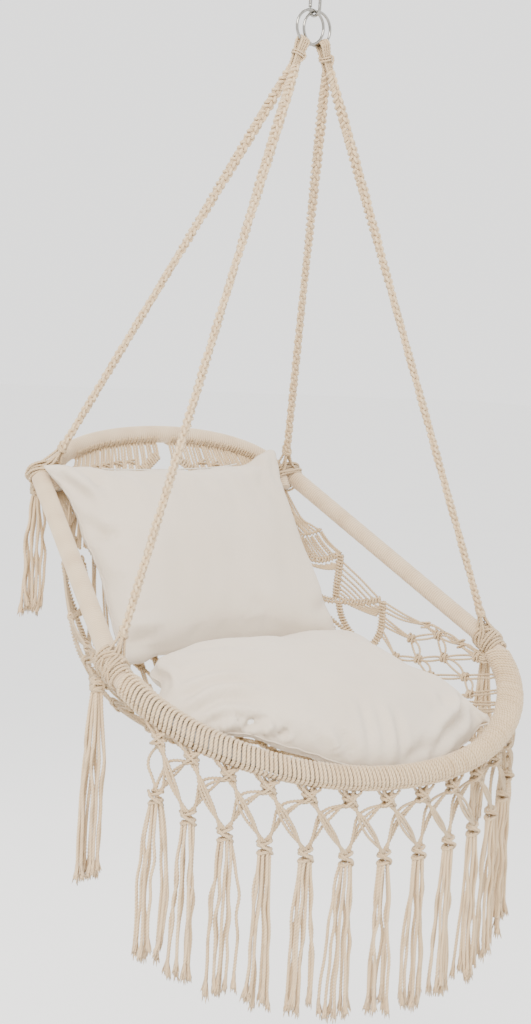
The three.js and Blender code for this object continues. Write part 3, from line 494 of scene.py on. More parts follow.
def snap_hook():
    path = [on_hook(TOP_BEND - 2), *arc_points(TOP_BEND, 0, 180), *arc_points(LOW_BEND, 180, 352),
            on_hook(LOW_BEND + 0.6)]
    tongue = round_rod([on_hook(LOW_BEND + rise) for rise in (0, 2, 4.6)], 0.8)
    mesh = make_mesh("hook_wire", *joined(round_rod(path, WIRE_R), tongue))
    add_object("hook_wire", mesh, chrome, "hook", "snap_hook")


def hook_gate():
    """The barrel, with a groove near each end, and the ends of its pin."""
    def grooves(share):
        return 1 - 0.10 * np.exp(-((share - 0.93) / 0.02) ** 2) - 0.06 * np.exp(-((share - 0.2) / 0.02) ** 2)

    parts = [round_rod([on_hook(z) for z in (-31.5, -20, -10.3)], 2.5, 20, 0.5, grooves)]
    for end in (-1, 1):
        parts.append(round_rod([vec(end * x, HOOK_R, -30) for x in (2.1, 2.5, 2.9)], 1.3, 12, 0.2))
    mesh = make_mesh("gate_barrel", *joined(*parts))
    add_object("gate_barrel", mesh, chrome, "gate", "hook_gate")


def hanging_ring(side, sign):
    """A ring of wire with a low weld at one place."""
    turns = np.linspace(0, TAU, 97)[:-1]
    angle = TAU * np.arange(16) / 16
    size = RING_WIRE_R * (1 + 0.16 * np.exp(-((turns - 2.2) / 0.05) ** 2))
    out = np.stack([np.cos(turns), np.zeros_like(turns), np.sin(turns)], 1)
    rings = (ring_centre(sign) + out[:, None, :] * (RING_R + size[:, None] * np.cos(angle))[..., None]
             + (size[:, None] * np.sin(angle))[..., None] * vec(0, 1, 0))
    base = np.arange(rings.shape[0] * rings.shape[1]).reshape(rings.shape[:2])
    nxt = np.roll(base, -1, axis=1)
    quads = np.stack([base, nxt, np.roll(nxt, -1, axis=0), np.roll(base, -1, axis=0)], -1).reshape(-1, 4)
    mesh = make_mesh(f"ring_wire_{side}", rings.reshape(-1, 3), quads)
    add_object(f"ring_wire_{side}", mesh, chrome, f"ring_{side}", f"ring_{side}")


def ring_lean(sign):
    """From the hook's low bend through the ring's centre to its eye."""
    return vec(sign * math.sin(RING_LEAN), 0, -math.cos(RING_LEAN))


def ring_centre(sign):
    return vec(0, sign * RING_GAP, LOW_BEND - HOOK_R) + RING_HANG * ring_lean(sign)


def eye_centre(sign):
    centre = ring_centre(sign) + RING_R * ring_lean(sign)
    centre[1] = 0
    return centre


def neck_direction(sign):
    return vec(sign * math.sin(NECK_LEAN), 0, -math.cos(NECK_LEAN))


def neck_end(sign):
    return eye_centre(sign) + NECK_LENGTH * neck_direction(sign)


# Knots
TIP_LENGTH, TIP_SPREAD, TIP_FIBRES = 24, 5.5, 9


def knot_loops(cords, centre, axis, across, width, depth, rows=3, pitch=4.6, tilt=0.35, radius=2.3):
    """Cord bound round a bundle: closed loops, one above the other, that tip to and fro."""
    out = np.cross(axis, across)
    for k in range(rows):
        slope = tilt * (1 if k % 2 else -1) * pitch
        middle = centre + axis * (k - (rows - 1) / 2) * pitch
        cords.add(loop_of(lambda t: (middle + across * width * math.cos(t) + out * depth * math.sin(t)
                                     + axis * slope * math.cos(t)), 12), radius)


def wind(cords, steps, turns, place, radius):
    """A cord wound round something: place is given each point's angle and the turns up to it."""
    cords.add([place(TAU * i / steps, i / steps) for i in range(turns * steps + 1)], radius)


def frayed_tip(cords, point, direction):
    """The brush of loose fibres at a cord's cut end: a soft core, and fibres round it."""
    lean = vec(rng.uniform(-1, 1), rng.uniform(-1, 1), 0) * 3.5
    end = point + direction * TIP_LENGTH * 0.82 + lean
    cords.add([point - direction * 4, point + direction * 6 + lean * 0.2, end], 2.2, plies=5, groove=0.5,
              lay=90, step=3, tip=0.6, swell=lambda share: 0.95 + 1.05 * share ** 1.3)
    for k in range(TIP_FIBRES):
        turn = TAU * (k + rng.uniform(-0.4, 0.4)) / TIP_FIBRES
        off = vec(math.cos(turn), math.sin(turn), 0) * TIP_SPREAD * rng.uniform(0.35, 1.0)
        tip = point + direction * TIP_LENGTH * rng.uniform(0.8, 1.15) + off + lean
        middle = point + direction * TIP_LENGTH * 0.5 + off * 0.55 + lean * 0.45
        cords.add([point - direction * 2 + off * 0.1, point + direction * 6 + off * 0.25, middle, tip], 0.95,
                  step=4, lay=9, plies=2, sides=3, groove=0.1, tip=0.2)


def hanging_strand(cords, tips, top, bottom, wave, kink):
    """One loose cord with a slow wander, and its frayed end."""
    count = 7
    amount = [rng.uniform(-wave, wave) for _ in range(2 * count)]
    points = [top]
    for k in range(1, count):
        bulge = math.sin(math.pi * k / count)
        points.append(top + (bottom - top) * (k / count) + vec(amount[k], amount[k + count - 1], 0) * bulge
                      + kink * bulge)
    points.append(bottom)
    path = cords.add(points, 2.45, step=2.2, tip=0.8)
    frayed_tip(tips, path[-1], unit(path[-1] - path[-6]))


# Slings and ropes
ROPE_SPACING, ROPE_TAPER, ROPE_DIAMETER = 3.4, 45, 14.5
PLAIT_WIDE, PLAIT_DEEP, PLAIT_PERIOD, STRAND_R = 4.6, 2.7, 28, 3.75
EYE_R = 6.1
# how far above the corner a rope parts, and the hoop's turn that gives the corner its direction
LEG, CORNER_TURN = 46, 0.1966


def front_axis(sign):
    """Along the frame at a front corner, from the hoop to the side bar."""
    return unit(front_corner(sign) + 20 * bar_direction(sign) - hoop_end(sign, CORNER_TURN))


def rear_axis(sign):
    """Between the side bar's direction and the arch's."""
    return unit(bar_direction(sign) + ARCH_OUT)


def rope_ends(sign, place):
    top = neck_end(sign) + vec(0, -ROPE_SPACING if place == "front" else ROPE_SPACING, 0)
    return top, front_corner(sign) if place == "front" else crossing(sign)


def plait(cords, path):
    """A plaited rope: each of its three strands is a pair of cords that lies to and fro over the others."""
    points, run = smooth_path(path, 2.2)
    _, side, up = transport(points)
    grow = np.clip(0.78 + 0.22 * run / ROPE_TAPER, 0, 1)
    turn = 0.9 * np.sin(run / 190.0) + run * 0.004
    a = side * np.cos(turn)[:, None] + up * np.sin(turn)[:, None]
    b = up * np.cos(turn)[:, None] - side * np.sin(turn)[:, None]
    for k in range(3):
        t = TAU * (run / PLAIT_PERIOD + k / 3)
        centre = (points + a * (PLAIT_WIDE * grow * np.sin(t))[:, None]
                  + b * (PLAIT_DEEP * grow * np.sin(2 * t))[:, None])
        cords.add(centre, STRAND_R, lay=19, step=2.2, plies=2, sides=10, groove=0.4)
    return points


def sling_neck(side, sign):
    """The folded cords round the ring, gathered in the neck."""
    cords = Cords()
    eye, down = eye_centre(sign), neck_direction(sign)
    across = np.cross(down, vec(0, 1, 0))
    for j in range(4):
        lane = across * (j - 1.5)
        loop = [eye + lane * 4.0 - down * EYE_R * math.cos(t) + vec(0, EYE_R * math.sin(t), 0)
                for t in np.linspace(-100, 100, 9) * DEG]
        low = [eye + down * 17 + lane * 3.2 + vec(0, y, 0) for y in (-3.8, 3.8)]
        foot = [neck_end(sign) + down * 3 + lane * 2.8 + vec(0, y, 0) for y in (-4.0, 4.0)]
        cords.add([foot[0], low[0], *loop, low[1], foot[1]])
    cords.build(f"sling_neck_{side}", f"sling_eye_{side}")


def sling_whipping(side, sign):
    """Two turns of cord round the neck, and their tucked end."""
    cords = Cords()
    down = neck_direction(sign)
    across = np.cross(down, vec(0, 1, 0))
    middle = eye_centre(sign) + down * 18

    def place(t, turns):
        return middle + down * (turns - 1) * 3.6 + across * 9.4 * math.cos(t) + vec(0, 7.6 * math.sin(t), 0)

    wind(cords, 14, 2, place, 1.7)
    tuck = ((4, -8, -3), (7, -8.5, 1), (5, -8, 7), (2, -7, 12))
    cords.add([middle + across * x + vec(0, y, 0) + down * z for x, y, z in tuck], 1.6)
    cords.build(f"sling_whipping_{side}", f"whipping_{side}")


def rope(side, sign, place):
    """A plaited rope whose cords part above the corner and go round it."""
    top, foot = rope_ends(sign, place)
    direction = unit(foot - top)
    start = top + direction * 2
    split = foot - direction * LEG
    cords = Cords()
    route = [start, (start * 2 + split) / 3, (start + 2 * split) / 3, split + direction * 6]
    path = plait(cords, route)
    obj = cords.build(f"rope_{place}_{side}_plait", f"rope_{place}_{side}")
    splay = rope_legs(side, sign, place, direction, split, foot)


def rope_legs(side, sign, place, direction, split, foot):
    """The rope's six single cords: three go round the corner each way, and a binding holds their start."""
    legs = Cords()
    axis = front_axis(sign) if place == "front" else rear_axis(sign)
    square = unit(np.cross(direction, axis))
    reach = 18.0 if place == "front" else 19.5
    for k in range(6):
        way = -1 if k < 3 else 1
        rank = k % 3
        spread = way * (4 + 4.6 * rank)
        face = 1 if (rank + (k > 2)) % 2 else -1
        across = square * face * 2.2
        points = [split - direction * 6 + across + axis * way * 1.5,
                  split + direction * 8 + across * 1.6 + axis * way * (2.5 + rank),
                  foot - direction * (reach + 5) + across * 3.4 + axis * spread * 0.7]
        for t in (-42, -5, 35, 75, 115, 150):
            bend = square * face * math.cos(t * DEG) + direction * math.sin(t * DEG)
            points.append(foot + axis * spread * (0.75 + 0.3 * t / 150) + reach * bend)
        legs.add(points)
    knot_loops(legs, split + direction, direction, axis, 7.6, 6.2, rows=2, pitch=4.2, radius=2.1)
    return legs.build(f"rope_{place}_{side}_splay", f"rope_{place}_{side}")


# Wraps on the frame
WRAP_TURN = CORNER_WRAP / HOOP_DEPTH


def bar_wrap(side, sign):
    direction = bar_direction(sign)
    length = np.linalg.norm(rear_corner(sign) - front_corner(sign))
    bar = [front_corner(sign) + direction * d
           for d in (length + BAR_TAIL, length * 0.75, length * 0.5, length * 0.25, 20)]
    hoop = [hoop_end(sign, t) for t in (0.03, 0.08, 0.14, WRAP_TURN)]
    ribbed_sleeve(f"bar_cord_{side}", bar + hoop, vec(0, 0, 1), f"bar_wrap_{side}")


def arch_wrap():
    tails = [arch_point(t) - ARCH_OUT * ARCH_TAIL for t in (0, math.pi)]
    arch = [arch_point(t) for t in np.linspace(0, math.pi, 15)]
    ribbed_sleeve("arch_cord", [tails[0], *arch, tails[1]], vec(0, 1, 0), "arch_wrap")


def hitch_turns():
    """The turns along the hoop where its hitches lie, at an even pitch."""
    turns = np.linspace(WRAP_TURN * 0.66, math.pi - WRAP_TURN * 0.66, 400)
    run = distance_along(np.array([hoop_point(t) for t in turns]))
    count = round(run[-1] / HITCH_PITCH)
    return np.interp((np.arange(count) + 0.5) * run[-1] / count, run, turns)


def hoop_basis(turn):
    """The hoop's place at a turn, with the ways along it, out from it and square up from its plane."""
    tangent = unit(hoop_point(turn + 1e-3) - hoop_point(turn - 1e-3))
    up = vec(0, -math.sin(HOOP_TILT), math.cos(HOOP_TILT))
    out = unit(np.cross(tangent, up))
    if out.dot(HOOP_OUT) < 0 and abs(math.sin(turn)) > 0.1:
        out = -out
    return hoop_point(turn), tangent, out, up


def hitches():
    """Single loops of cord hitched round the front hoop, and a chain of two cords along its foot."""
    cords = Cords()
    places = hitch_turns()
    for turn in places:
        centre, tangent, out, up = hoop_basis(turn)
        slant = -3.0 * math.copysign(1, tangent[0])
        shift = rng.uniform(-0.3, 0.3)
        swell = rng.uniform(-0.2, 0.3)
        # along the sides the loops reach further in, round the net's last cords
        inward_reach = 7.5 * np.clip((abs(math.cos(turn)) - 0.45) / 0.35, 0, 1)

        def on_loop(t):
            near = math.exp(-((t - math.pi) / 0.62) ** 2)
            radius = HITCH_R + swell + 0.9 * math.sin(t) ** 4 + inward_reach * near
            return (centre + tangent * (shift + slant * math.sin(t + 0.4) + 1.7 * math.cos(2 * t))
                    + radius * (out * math.cos(t) + up * math.sin(t)))

        cords.add(loop_of(on_loop, 20), 2.85, step=2.4, lay=12)
    for strand in range(2):
        points = []
        for k in range(len(places) * 3 + 1):
            centre, _, out, up = hoop_basis(np.interp(k / 3, np.arange(len(places)) + 0.5, places))
            swing = TAU * k / 6 + math.pi * strand
            near = 15.4 + 1.3 * math.cos(swing)
            wide = -76 * DEG + 0.15 * math.sin(swing)
            points.append(centre + near * (out * math.cos(wide) + up * math.sin(wide)))
        cords.add(points, 2.1, step=2.2, lay=10)
    cords.build("hoop_hitching", "hoop_hitches")


def front_lashing(side, sign):
    """Cord wound round the front corner, with turns that cross over it both ways."""
    cords = Cords()
    axis = front_axis(sign)
    above = unit(vec(0, 0, 1) - axis * axis[2])
    across = np.cross(axis, above)
    for tilt, start, count, radius in ((0.1, -24, 9, 15.0), (0.40, -9, 2, 17.9), (-0.40, -2, 2, 18.2)):
        def place(t, turns):
            return (front_corner(sign) + axis * (start + 5.3 * turns + tilt * radius * math.sin(t))
                    + radius * (above * math.cos(t) + across * math.sin(t)))

        wind(cords, 16, count, place, 2.6)
    cords.build(f"front_lashing_{side}_cord", f"front_lashing_{side}")


def rear_lashing(side, sign):
    """Cord wound round both tubes at the rear corner, flat where it crosses from one to the other."""
    cords = Cords()
    axis = rear_axis(sign)
    wide = unit(vec(1, 0, 0) - axis * axis[0])
    deep = np.cross(axis, wide)
    for tilt, start, count, grow in ((0.0, -11, 4, 0.0), (0.22, -5, 1, 2.6), (-0.22, 0, 1, 2.8)):
        def place(t, turns):
            c, q = math.cos(t), math.sin(t)
            size = 1 / (abs(c / (28.0 + grow)) ** 2.6 + abs(q / (15.2 + grow)) ** 2.6) ** (1 / 2.6)
            return (crossing(sign) + axis * (start + 5.2 * turns + tilt * 22 * q)
                    + size * (c * wide + q * deep))

        wind(cords, 24, count, place, 2.3)
    cords.build(f"rear_lashing_{side}_cord", f"rear_lashing_{side}")


# Tassels
TASSELS = {"front": (vec(341.52, -68.92, -926.06), 250, 11), "rear": (vec(217.35, 296.5, -715.56), 180, 10)}


def tassel(place, side, sign):
    knot, length, count = TASSELS[place]
    name = f"{place}_tassel_{side}"
    centre = knot * vec(sign, 1, 1)
    cords, tips = Cords(), Cords()
    knot_loops(cords, centre + vec(0, 0, 1), DOWN, unit(vec(1, 0.4, 0)), 8.2, 7.8, rows=4, pitch=4.4,
               radius=2.5)
    knot_loops(cords, centre, unit(vec(0.3, 1, 0.2)), vec(0, 0, 1), 8.6, 7.4, rows=3, pitch=5.5, radius=2.5)
    for k in range(count):
        turn = TAU * k / count
        out = vec(math.cos(turn), math.sin(turn), 0)
        near = centre + out * (6.2 if k % 2 else 3.2) + DOWN * 6
        bundle = 1 if k < count * 0.6 else -1
        far = (centre + out * rng.uniform(6, 11) + vec(bundle * sign * 4, 0, 0)
               + vec(0, 0, -length + rng.uniform(22, 34)))
        hanging_strand(cords, tips, near, far, 3.0, out * rng.uniform(2, 7))
    cords.build(f"{name}_cords", name, body=name)
    tips.build(f"{name}_ends", name, frayed, body=name)


# Net
ARCH_HANG, HOOP_HANG, HOOP_DIP = 15, 13, 11
ARCH_SPAN, HOOP_SPAN, NET_END = 0.60, 0.93, 0.985
BAND_HITCH, ROW_STEP = 4.8, 0.0715
# the diamond in the middle of the back: the corners of its upper edge, and its lowest place
DIAMOND_U, DIAMOND_W, DIAMOND_LOW = (0.07, 0.38, 0.74), (0.02, 0.075, 0.19), 0.40


def blend(middle, edge, u):
    """A value in the net's middle that changes close to its side edges."""
    return middle + (edge - middle) * u**6


def inward(half, depth, out, turn):
    """Square from a bent tube to the inside of its bend."""
    return unit(vec(depth * math.cos(turn), 0, 0) - out * half * math.sin(turn))


def arch_turn(u):
    return math.pi / 2 * (1 + u * ARCH_SPAN)


def hoop_turn(u):
    return math.pi / 2 * (1 + u * HOOP_SPAN)


def net_point(u, w):
    """u runs across from -1 to 1, w from the arch at 0 to the hoop at 1."""
    high, low = arch_turn(u), hoop_turn(u)
    top = arch_point(high) + ARCH_HANG * inward(ARCH_HALF, ARCH_DEPTH, ARCH_OUT, high)
    foot = (hoop_point(low) + HOOP_HANG * inward(FRONT_X, HOOP_DEPTH, HOOP_OUT, low)
            + HOOP_DIP * vec(0, math.sin(HOOP_TILT), -math.cos(HOOP_TILT)))
    back = top + vec(u * 108, -blend(134, 117, u), -blend(276, 166, u))
    front = foot + vec(-u * 12, blend(272, 176, u), blend(-56, 33, u))
    r = 1 - w
    return r**3 * top + 3 * r * r * w * back + 3 * r * w * w * front + w**3 * foot


def net_normal(u, w):
    e = 0.01
    across = net_point(u + e, w) - net_point(u - e, w)
    down = net_point(u, min(w + e, 1)) - net_point(u, max(w - e, 0))
    return -unit(np.cross(down, across))


class Net:
    """Draws cords, bands and knots on the net's surface, at (u, w) places."""

    def __init__(self):
        self.cords = Cords()

    def line(self, stops, lift=0.0, offset=0.0, radius=2.1, ends=(None, None), step=2.3, wander=0.0):
        """A cord through the stops, moved sideways on the surface by offset."""
        path, _ = smooth_path([vec(u, w, 0) for u, w in stops], 0.03)
        last = len(path) - 1
        points = []
        for k, (u, w, _) in enumerate(path):
            point = net_point(u, w)
            if lift:
                point = point + net_normal(u, w) * lift
            aside = offset(k / last) if callable(offset) else offset
            if aside:
                along = net_point(*path[min(k + 1, last)][:2]) - net_point(*path[max(k - 1, 0)][:2])
                point = point + unit(np.cross(along, net_normal(u, w))) * aside
            if wander:
                point = point + vec(*[rng.uniform(-wander, wander) for _ in range(3)])
            points.append(point)
        before, after = ([] if end is None else [end] for end in ends)
        self.cords.add([*before, *points, *after], radius, step=step)

    def pair(self, stops, gap=4.5, **options):
        for offset in (-gap / 2, gap / 2):
            self.line(stops, offset=offset, **options)

    def links(self, stops, gap=7.0, bow=0.0, **options):
        """Two cords from knot to knot that part between the knots."""
        for a, b in zip(stops, stops[1:]):
            middle = ((a[0] + b[0]) / 2, (a[1] + b[1]) / 2)
            for way in (-0.5, 0.5):
                def offset(share):
                    arc = math.sin(math.pi * share)
                    return way * (1.6 + gap * arc ** 0.6) + bow * arc

                self.line([a, middle, b], offset=offset, **options)

    def band(self, stops, rows=2, pitch=4.4):
        """A row of half hitches: beaded cords side by side, with small loops over them."""
        for k in range(rows):
            self.line(stops, offset=(k - (rows - 1) / 2) * pitch, lift=0.4, step=2.0)
        path, _ = smooth_path([vec(u, w, 0) for u, w in stops], 0.01)
        points = np.array([net_point(u, w) for u, w, _ in path])
        run = distance_along(points)
        half = rows * pitch / 2 + 0.2
        for s in np.arange(BAND_HITCH / 2, run[-1], BAND_HITCH):
            u, w = (np.interp(s, run, path[:, k]) for k in (0, 1))
            k = min(int(np.searchsorted(run, s)), len(points) - 1)
            along = unit(points[min(k + 1, len(points) - 1)] - points[max(k - 1, 0)])
            normal = net_normal(u, w)
            across = np.cross(along, normal)
            centre = net_point(u, w)
            reach = across * half + along * 1.1
            loop = loop_of(lambda t: centre + reach * math.cos(t) + normal * 2.5 * math.sin(t), 8)
            self.cords.add(loop, 1.7, step=2.6, lay=9)

    def knot(self, u, w, along_w=True, width=5.2, rows=3):
        if along_w:
            axis = unit(net_point(u, min(w + 0.01, 1)) - net_point(u, w - 0.01))
        else:
            axis = unit(net_point(u + 0.01, w) - net_point(u - 0.01, w))
        across = np.cross(axis, net_normal(u, w))
        knot_loops(self.cords, net_point(u, w), axis, across, width, 3.8, rows=rows, pitch=3.6, radius=1.9)


def on_hoop(u):
    """Where a net cord goes in under the hoop's hitches."""
    centre, _, out, up = hoop_basis(hoop_turn(u))
    return centre - out * 10.5 - up * 7.5


def on_arch(u):
    """Where a net cord starts under the arch."""
    turn = arch_turn(u)
    return arch_point(turn) + 10 * inward(ARCH_HALF, ARCH_DEPTH, ARCH_OUT, turn)


def arch_hitch(net, u):
    """A cord pair's loop over the lower half of the arch."""
    turn = arch_turn(u)
    centre = arch_point(turn)
    tangent = unit(arch_point(turn + 1e-3) - arch_point(turn - 1e-3))
    inside = inward(ARCH_HALF, ARCH_DEPTH, ARCH_OUT, turn)
    face = np.cross(tangent, inside)
    for j in (-1, 1):
        points = [centre + tangent * j * 1.9 + 13.6 * (inside * math.cos(t) + face * math.sin(t))
                  for t in np.linspace(-52, 52, 7) * DEG]
        net.cords.add(points, 1.9, step=2.6)
    net.cords.add([centre + inside * 15.2 + tangent * x + face * 3.4 for x in (-4.0, 0, 4.0)], 1.8)


def back_diamond(net, sign):
    """Half of the diamond in the middle of the back: its bands, and the cords above and inside it."""
    net.band([(sign * u, w) for u, w in zip(DIAMOND_U, DIAMOND_W)], rows=3)
    net.band([(sign * DIAMOND_U[-1], DIAMOND_W[-1]), (sign * 0.40, 0.31), (0.0, DIAMOND_LOW)], rows=3)
    for k in range(15):
        u = sign * (0.08 + 0.064 * k)
        reach = np.interp(abs(u), [*DIAMOND_U, 1.0], [*DIAMOND_W, 0.24])
        net.pair([(u, 0.0), (u, reach * 0.5), (u, max(reach, 0.02))], ends=(on_arch(u), None),
                 gap=5.0, wander=0.6, radius=2.3)
        if reach > 0.06:
            net.knot(u, min(0.03 + 0.02 * (k % 2), reach - 0.02), width=5.6, rows=2)
        arch_hitch(net, u)
    for k in range(7):
        share = (k + 0.5) / 7
        across = DIAMOND_U[0] * (1 - share) + DIAMOND_U[-1] * share
        high = (sign * across, np.interp(across, DIAMOND_U, DIAMOND_W))
        low = (sign * DIAMOND_U[-1] * (1 - share), DIAMOND_W[-1] + (DIAMOND_LOW - DIAMOND_W[-1]) * share)
        if share > 0.2:
            net.pair([high, (sign * (0.05 + 0.10 * share), 0.165), (sign * 0.04, 0.195)], gap=3.4)
        net.pair([(sign * 0.04, 0.205), (sign * (0.05 + 0.1 * (1 - share)), 0.235), low], gap=3.4)


def back_foot(net):
    """The cords under the diamond, down to the band that ends the back, with slanted ties between them."""
    for k in range(-9, 10):
        u = k * 0.078
        start = np.interp(abs(u), [0, 0.40, DIAMOND_U[-1]], [0.41, 0.32, 0.20])
        net.pair([(u, start), (u, (start + 0.56) / 2), (u, 0.565)], gap=3.9, wander=0.25)
        for w in (0.44, 0.51) if k % 2 else (0.475, 0.545):
            if w > start + 0.03:
                net.knot(u, w, width=4.6)
        for w in (0.445, 0.515) if k % 2 else (0.48,):
            if k < 9 and w > start + 0.05:
                net.line([(u + 0.012, w), (u + 0.039, w + 0.018), (u + 0.066, w + 0.035)])
                net.line([(u + 0.012, w + 0.004), (u + 0.039, w + 0.026), (u + 0.066, w + 0.04)])


def back_net():
    net = Net()
    for sign in (-1, 1):
        back_diamond(net, sign)
    for k in range(3):
        net.knot(0.0, 0.185 + 0.013 * k, width=9.0 - k, rows=2)
    back_foot(net)
    for sign in (-1, 1):
        side_motif(net, sign)
    net.cords.build("back_net_cords", "back_net")


def on_half(sign):
    """A function that puts (u, w) stops on the left or the right half of the net."""
    def at(*stops):
        return [(sign * u, w) for u, w in stops]

    return at


def side_motif(net, sign):
    """The leaves, fans and two oval openings along a side edge."""
    at = on_half(sign)

    def leaf(*stops):
        """Seven cords side by side: each stop is the first cord's place and the way to the last cord's."""
        for share in np.arange(7) / 6:
            net.line(at(*[(u + wide * share, w + high * share) for u, w, wide, high in stops]))

    # the bundle from the rear corner down to the first bands
    for share in np.arange(9) / 8:
        root = crossing(sign) + vec(sign * (-26 + 24 * share), 6 - 10 * share, -20)
        net.line(at((0.90 + 0.10 * share, 0.12 + 0.07 * share), (0.90 + 0.12 * share, 0.20 + 0.06 * share)),
                 ends=(root, None), wander=0.5)
    net.band(at((0.88, 0.19), (0.96, 0.225), (1.03, 0.265)), rows=1)
    for share in np.arange(7) / 6:
        net.pair(at((0.88 + 0.14 * share, 0.195 + 0.07 * share), (0.87 + 0.14 * share, 0.235 + 0.06 * share),
                    (0.86 + 0.15 * share, 0.255 + 0.10 * share)), gap=3.2, wander=0.6)
    net.band(at((0.80, 0.225), (0.86, 0.25), (0.93, 0.30), (1.01, 0.35)))
    # the first leaf and its opening
    leaf((0.84, 0.262, 0.14, 0.085), (0.90, 0.31, 0.08, 0.045), (0.955, 0.355, 0.035, 0.01))
    net.band(at((1.01, 0.355), (0.965, 0.368), (0.91, 0.382), (0.86, 0.398)), rows=3, pitch=3.4)
    net.band(at((0.78, 0.355), (0.82, 0.385), (0.86, 0.405)))
    net.band(at((0.80, 0.235), (0.765, 0.29), (0.78, 0.35)))
    # the fan between the openings
    for share in np.arange(8) / 7:
        a = (0.995 - 0.125 * share, 0.368 + 0.030 * share)
        b = (0.985 - 0.10 * share, 0.535 - 0.105 * share)
        net.line(at(a, ((a[0] + b[0]) / 2 + 0.004, (a[1] + b[1]) / 2), b))
    net.band(at((0.86, 0.408), (0.92, 0.47), (0.985, 0.55)))
    # the second leaf and its opening
    leaf((0.875, 0.42, 0.10, 0.125), (0.905, 0.49, 0.065, 0.07), (0.93, 0.555, 0.045, 0.012))
    net.band(at((0.985, 0.56), (0.93, 0.578), (0.88, 0.585), (0.81, 0.578)), rows=3, pitch=3.4)
    net.band(at((0.855, 0.41), (0.80, 0.45), (0.775, 0.51), (0.80, 0.565)))
    net.band(at((0.765, 0.30), (0.74, 0.38), (0.755, 0.45), (0.775, 0.50)), rows=1)


def side_net(net, sign):
    """The open meshes between the second leaf and the hoop, beside the seat."""
    at = on_half(sign)

    high, low, mid = (1.0, 0.75), (0.93, 0.705), (0.99, 0.805)
    inner, outer = (0.86, 0.745), (0.91, 0.835)
    third, fourth, fifth = (0.80, 0.795), (0.84, 0.905), (0.74, 0.92)
    start, tie, corner = (0.82, 0.665), (0.97, 0.955), (1.005, 0.90)
    sixth, seventh = (0.72, 0.73), (0.68, 0.85)
    for row in ([high, (1.012, 0.83), corner], [low, mid, corner], [start, inner, outer, tie],
                [sixth, third, fourth], [seventh, fifth]):
        net.links(at(*row), gap=5.0)
    for knot, u in ((corner, 1.0), (corner, 0.985), (tie, 0.965),
                    (fourth, 0.87), (fifth, 0.77), (seventh, 0.69)):
        middle = ((knot[0] + u) / 2, (knot[1] + NET_END) / 2)
        net.pair(at(knot, middle, (u, NET_END)), gap=6.0, wander=0.3, ends=(None, on_hoop(sign * u)))
    for link in ([high, mid], [low, inner], [inner, third], [mid, outer], [outer, fourth], [fourth, fifth],
                 [corner, tie], [start, sixth], [third, seventh], [sixth, seventh]):
        net.links(at(*link), gap=8.0, bow=3.5 * sign)
    leaf = ((0.985, 0.562), (0.972, 0.566), (0.958, 0.57), (0.944, 0.574),
            (0.93, 0.578), (0.915, 0.581), (0.90, 0.583), (0.88, 0.585))
    for root, knot in zip(leaf, (high, high, high, low, low, low, start, start)):
        middle = (root[0] * 0.62 + knot[0] * 0.38, root[1] * 0.5 + knot[1] * 0.5)
        net.line(at(root, middle, knot), wander=0.3)
    for knot in (high, low, mid, inner, outer, third, fourth, fifth, start, tie, corner, sixth, seventh):
        net.knot(sign * knot[0], knot[1], along_w=knot not in (high, corner), width=6.4)


def seat_net():
    net = Net()
    net.band([(u, 0.572) for u in np.linspace(-0.80, 0.80, 13)])
    rows = [k * ROW_STEP for k in range(-9, 10)]
    for index, u in enumerate(rows):
        sag = 0.004 * math.sin(index * 2.1)
        stops = [(u, 0.58), (u + sag, 0.66), (u - sag, 0.76), (u + sag, 0.88), (u, NET_END)]
        net.pair(stops, gap=5.4, wander=0.4, ends=(None, on_hoop(u)))
        if index + 1 < len(rows):
            shift = 0.0 if index % 2 else 0.055
            for w in np.arange(0.645 + shift, 0.955, 0.11):
                neighbour = (rows[index + 1], w + 0.022)
                net.knot(u, w)
                net.knot(*neighbour)
                net.links([(u, w), neighbour], lift=0.6)
    for sign in (-1, 1):
        side_net(net, sign)
    net.cords.build("seat_net_cords", "seat_net")


# Fringe
STATIONS, END_TURN = 14, 22 * DEG
UPPER_DROP, LOWER_DROP, FRINGE_LENGTH, FRINGE_R = 30, 104, 204, 2.4
LOOSE_STRANDS, STRAY_SHARE = 8, 0.28


def fringe_frame(k):
    """A station's turn and place on the hoop, and the level ways along the hoop and out from it."""
    turn = END_TURN + (math.pi - 2 * END_TURN) * k / (STATIONS - 1)
    tangent = unit(hoop_point(turn + 0.05) - hoop_point(turn - 0.05))
    across = unit(vec(tangent[0], tangent[1], 0))
    return turn, hoop_point(turn), across, vec(across[1], -across[0], 0)


def fringe_place(k, side, forward, drop):
    """A place below the hoop at one of its stations."""
    _, axis, across, out = fringe_frame(k)
    return axis + across * side + out * forward + DOWN * drop


def fringe_head(cords, k):
    """The cords that come off the hoop's hitches in a short V, and the upper knot where they meet."""
    turn, _, across, _ = fringe_frame(k)
    centre, tangent, hoop_out, hoop_up = hoop_basis(turn)
    for j, side in enumerate((-17, -10.5, -4, 4, 10.5, 17)):
        begin = centre + tangent * side + hoop_out * (11.5 if j % 2 else 6.5) - hoop_up * 11.5
        near = fringe_place(k, side * 0.42, 3.4 if j % 2 else -3, UPPER_DROP - 7)
        cords.add([begin, (begin + near) / 2 + DOWN * 2, near,
                   fringe_place(k, side * 0.3, 2.4 if j % 2 else -2.4, UPPER_DROP + 2)], FRINGE_R)
    knot_loops(cords, fringe_place(k, 0, 0, UPPER_DROP - 1), DOWN, across, 8.6, 6.4, pitch=5.0, tilt=0.5,
               radius=2.5)
    for way in (-1, 1):
        cords.add([fringe_place(k, -way * 8.5, 5.6, UPPER_DROP - 9), fringe_place(k, 0, 8.6, UPPER_DROP - 2),
                   fringe_place(k, way * 9.5, 5.2, UPPER_DROP + 6)], FRINGE_R)


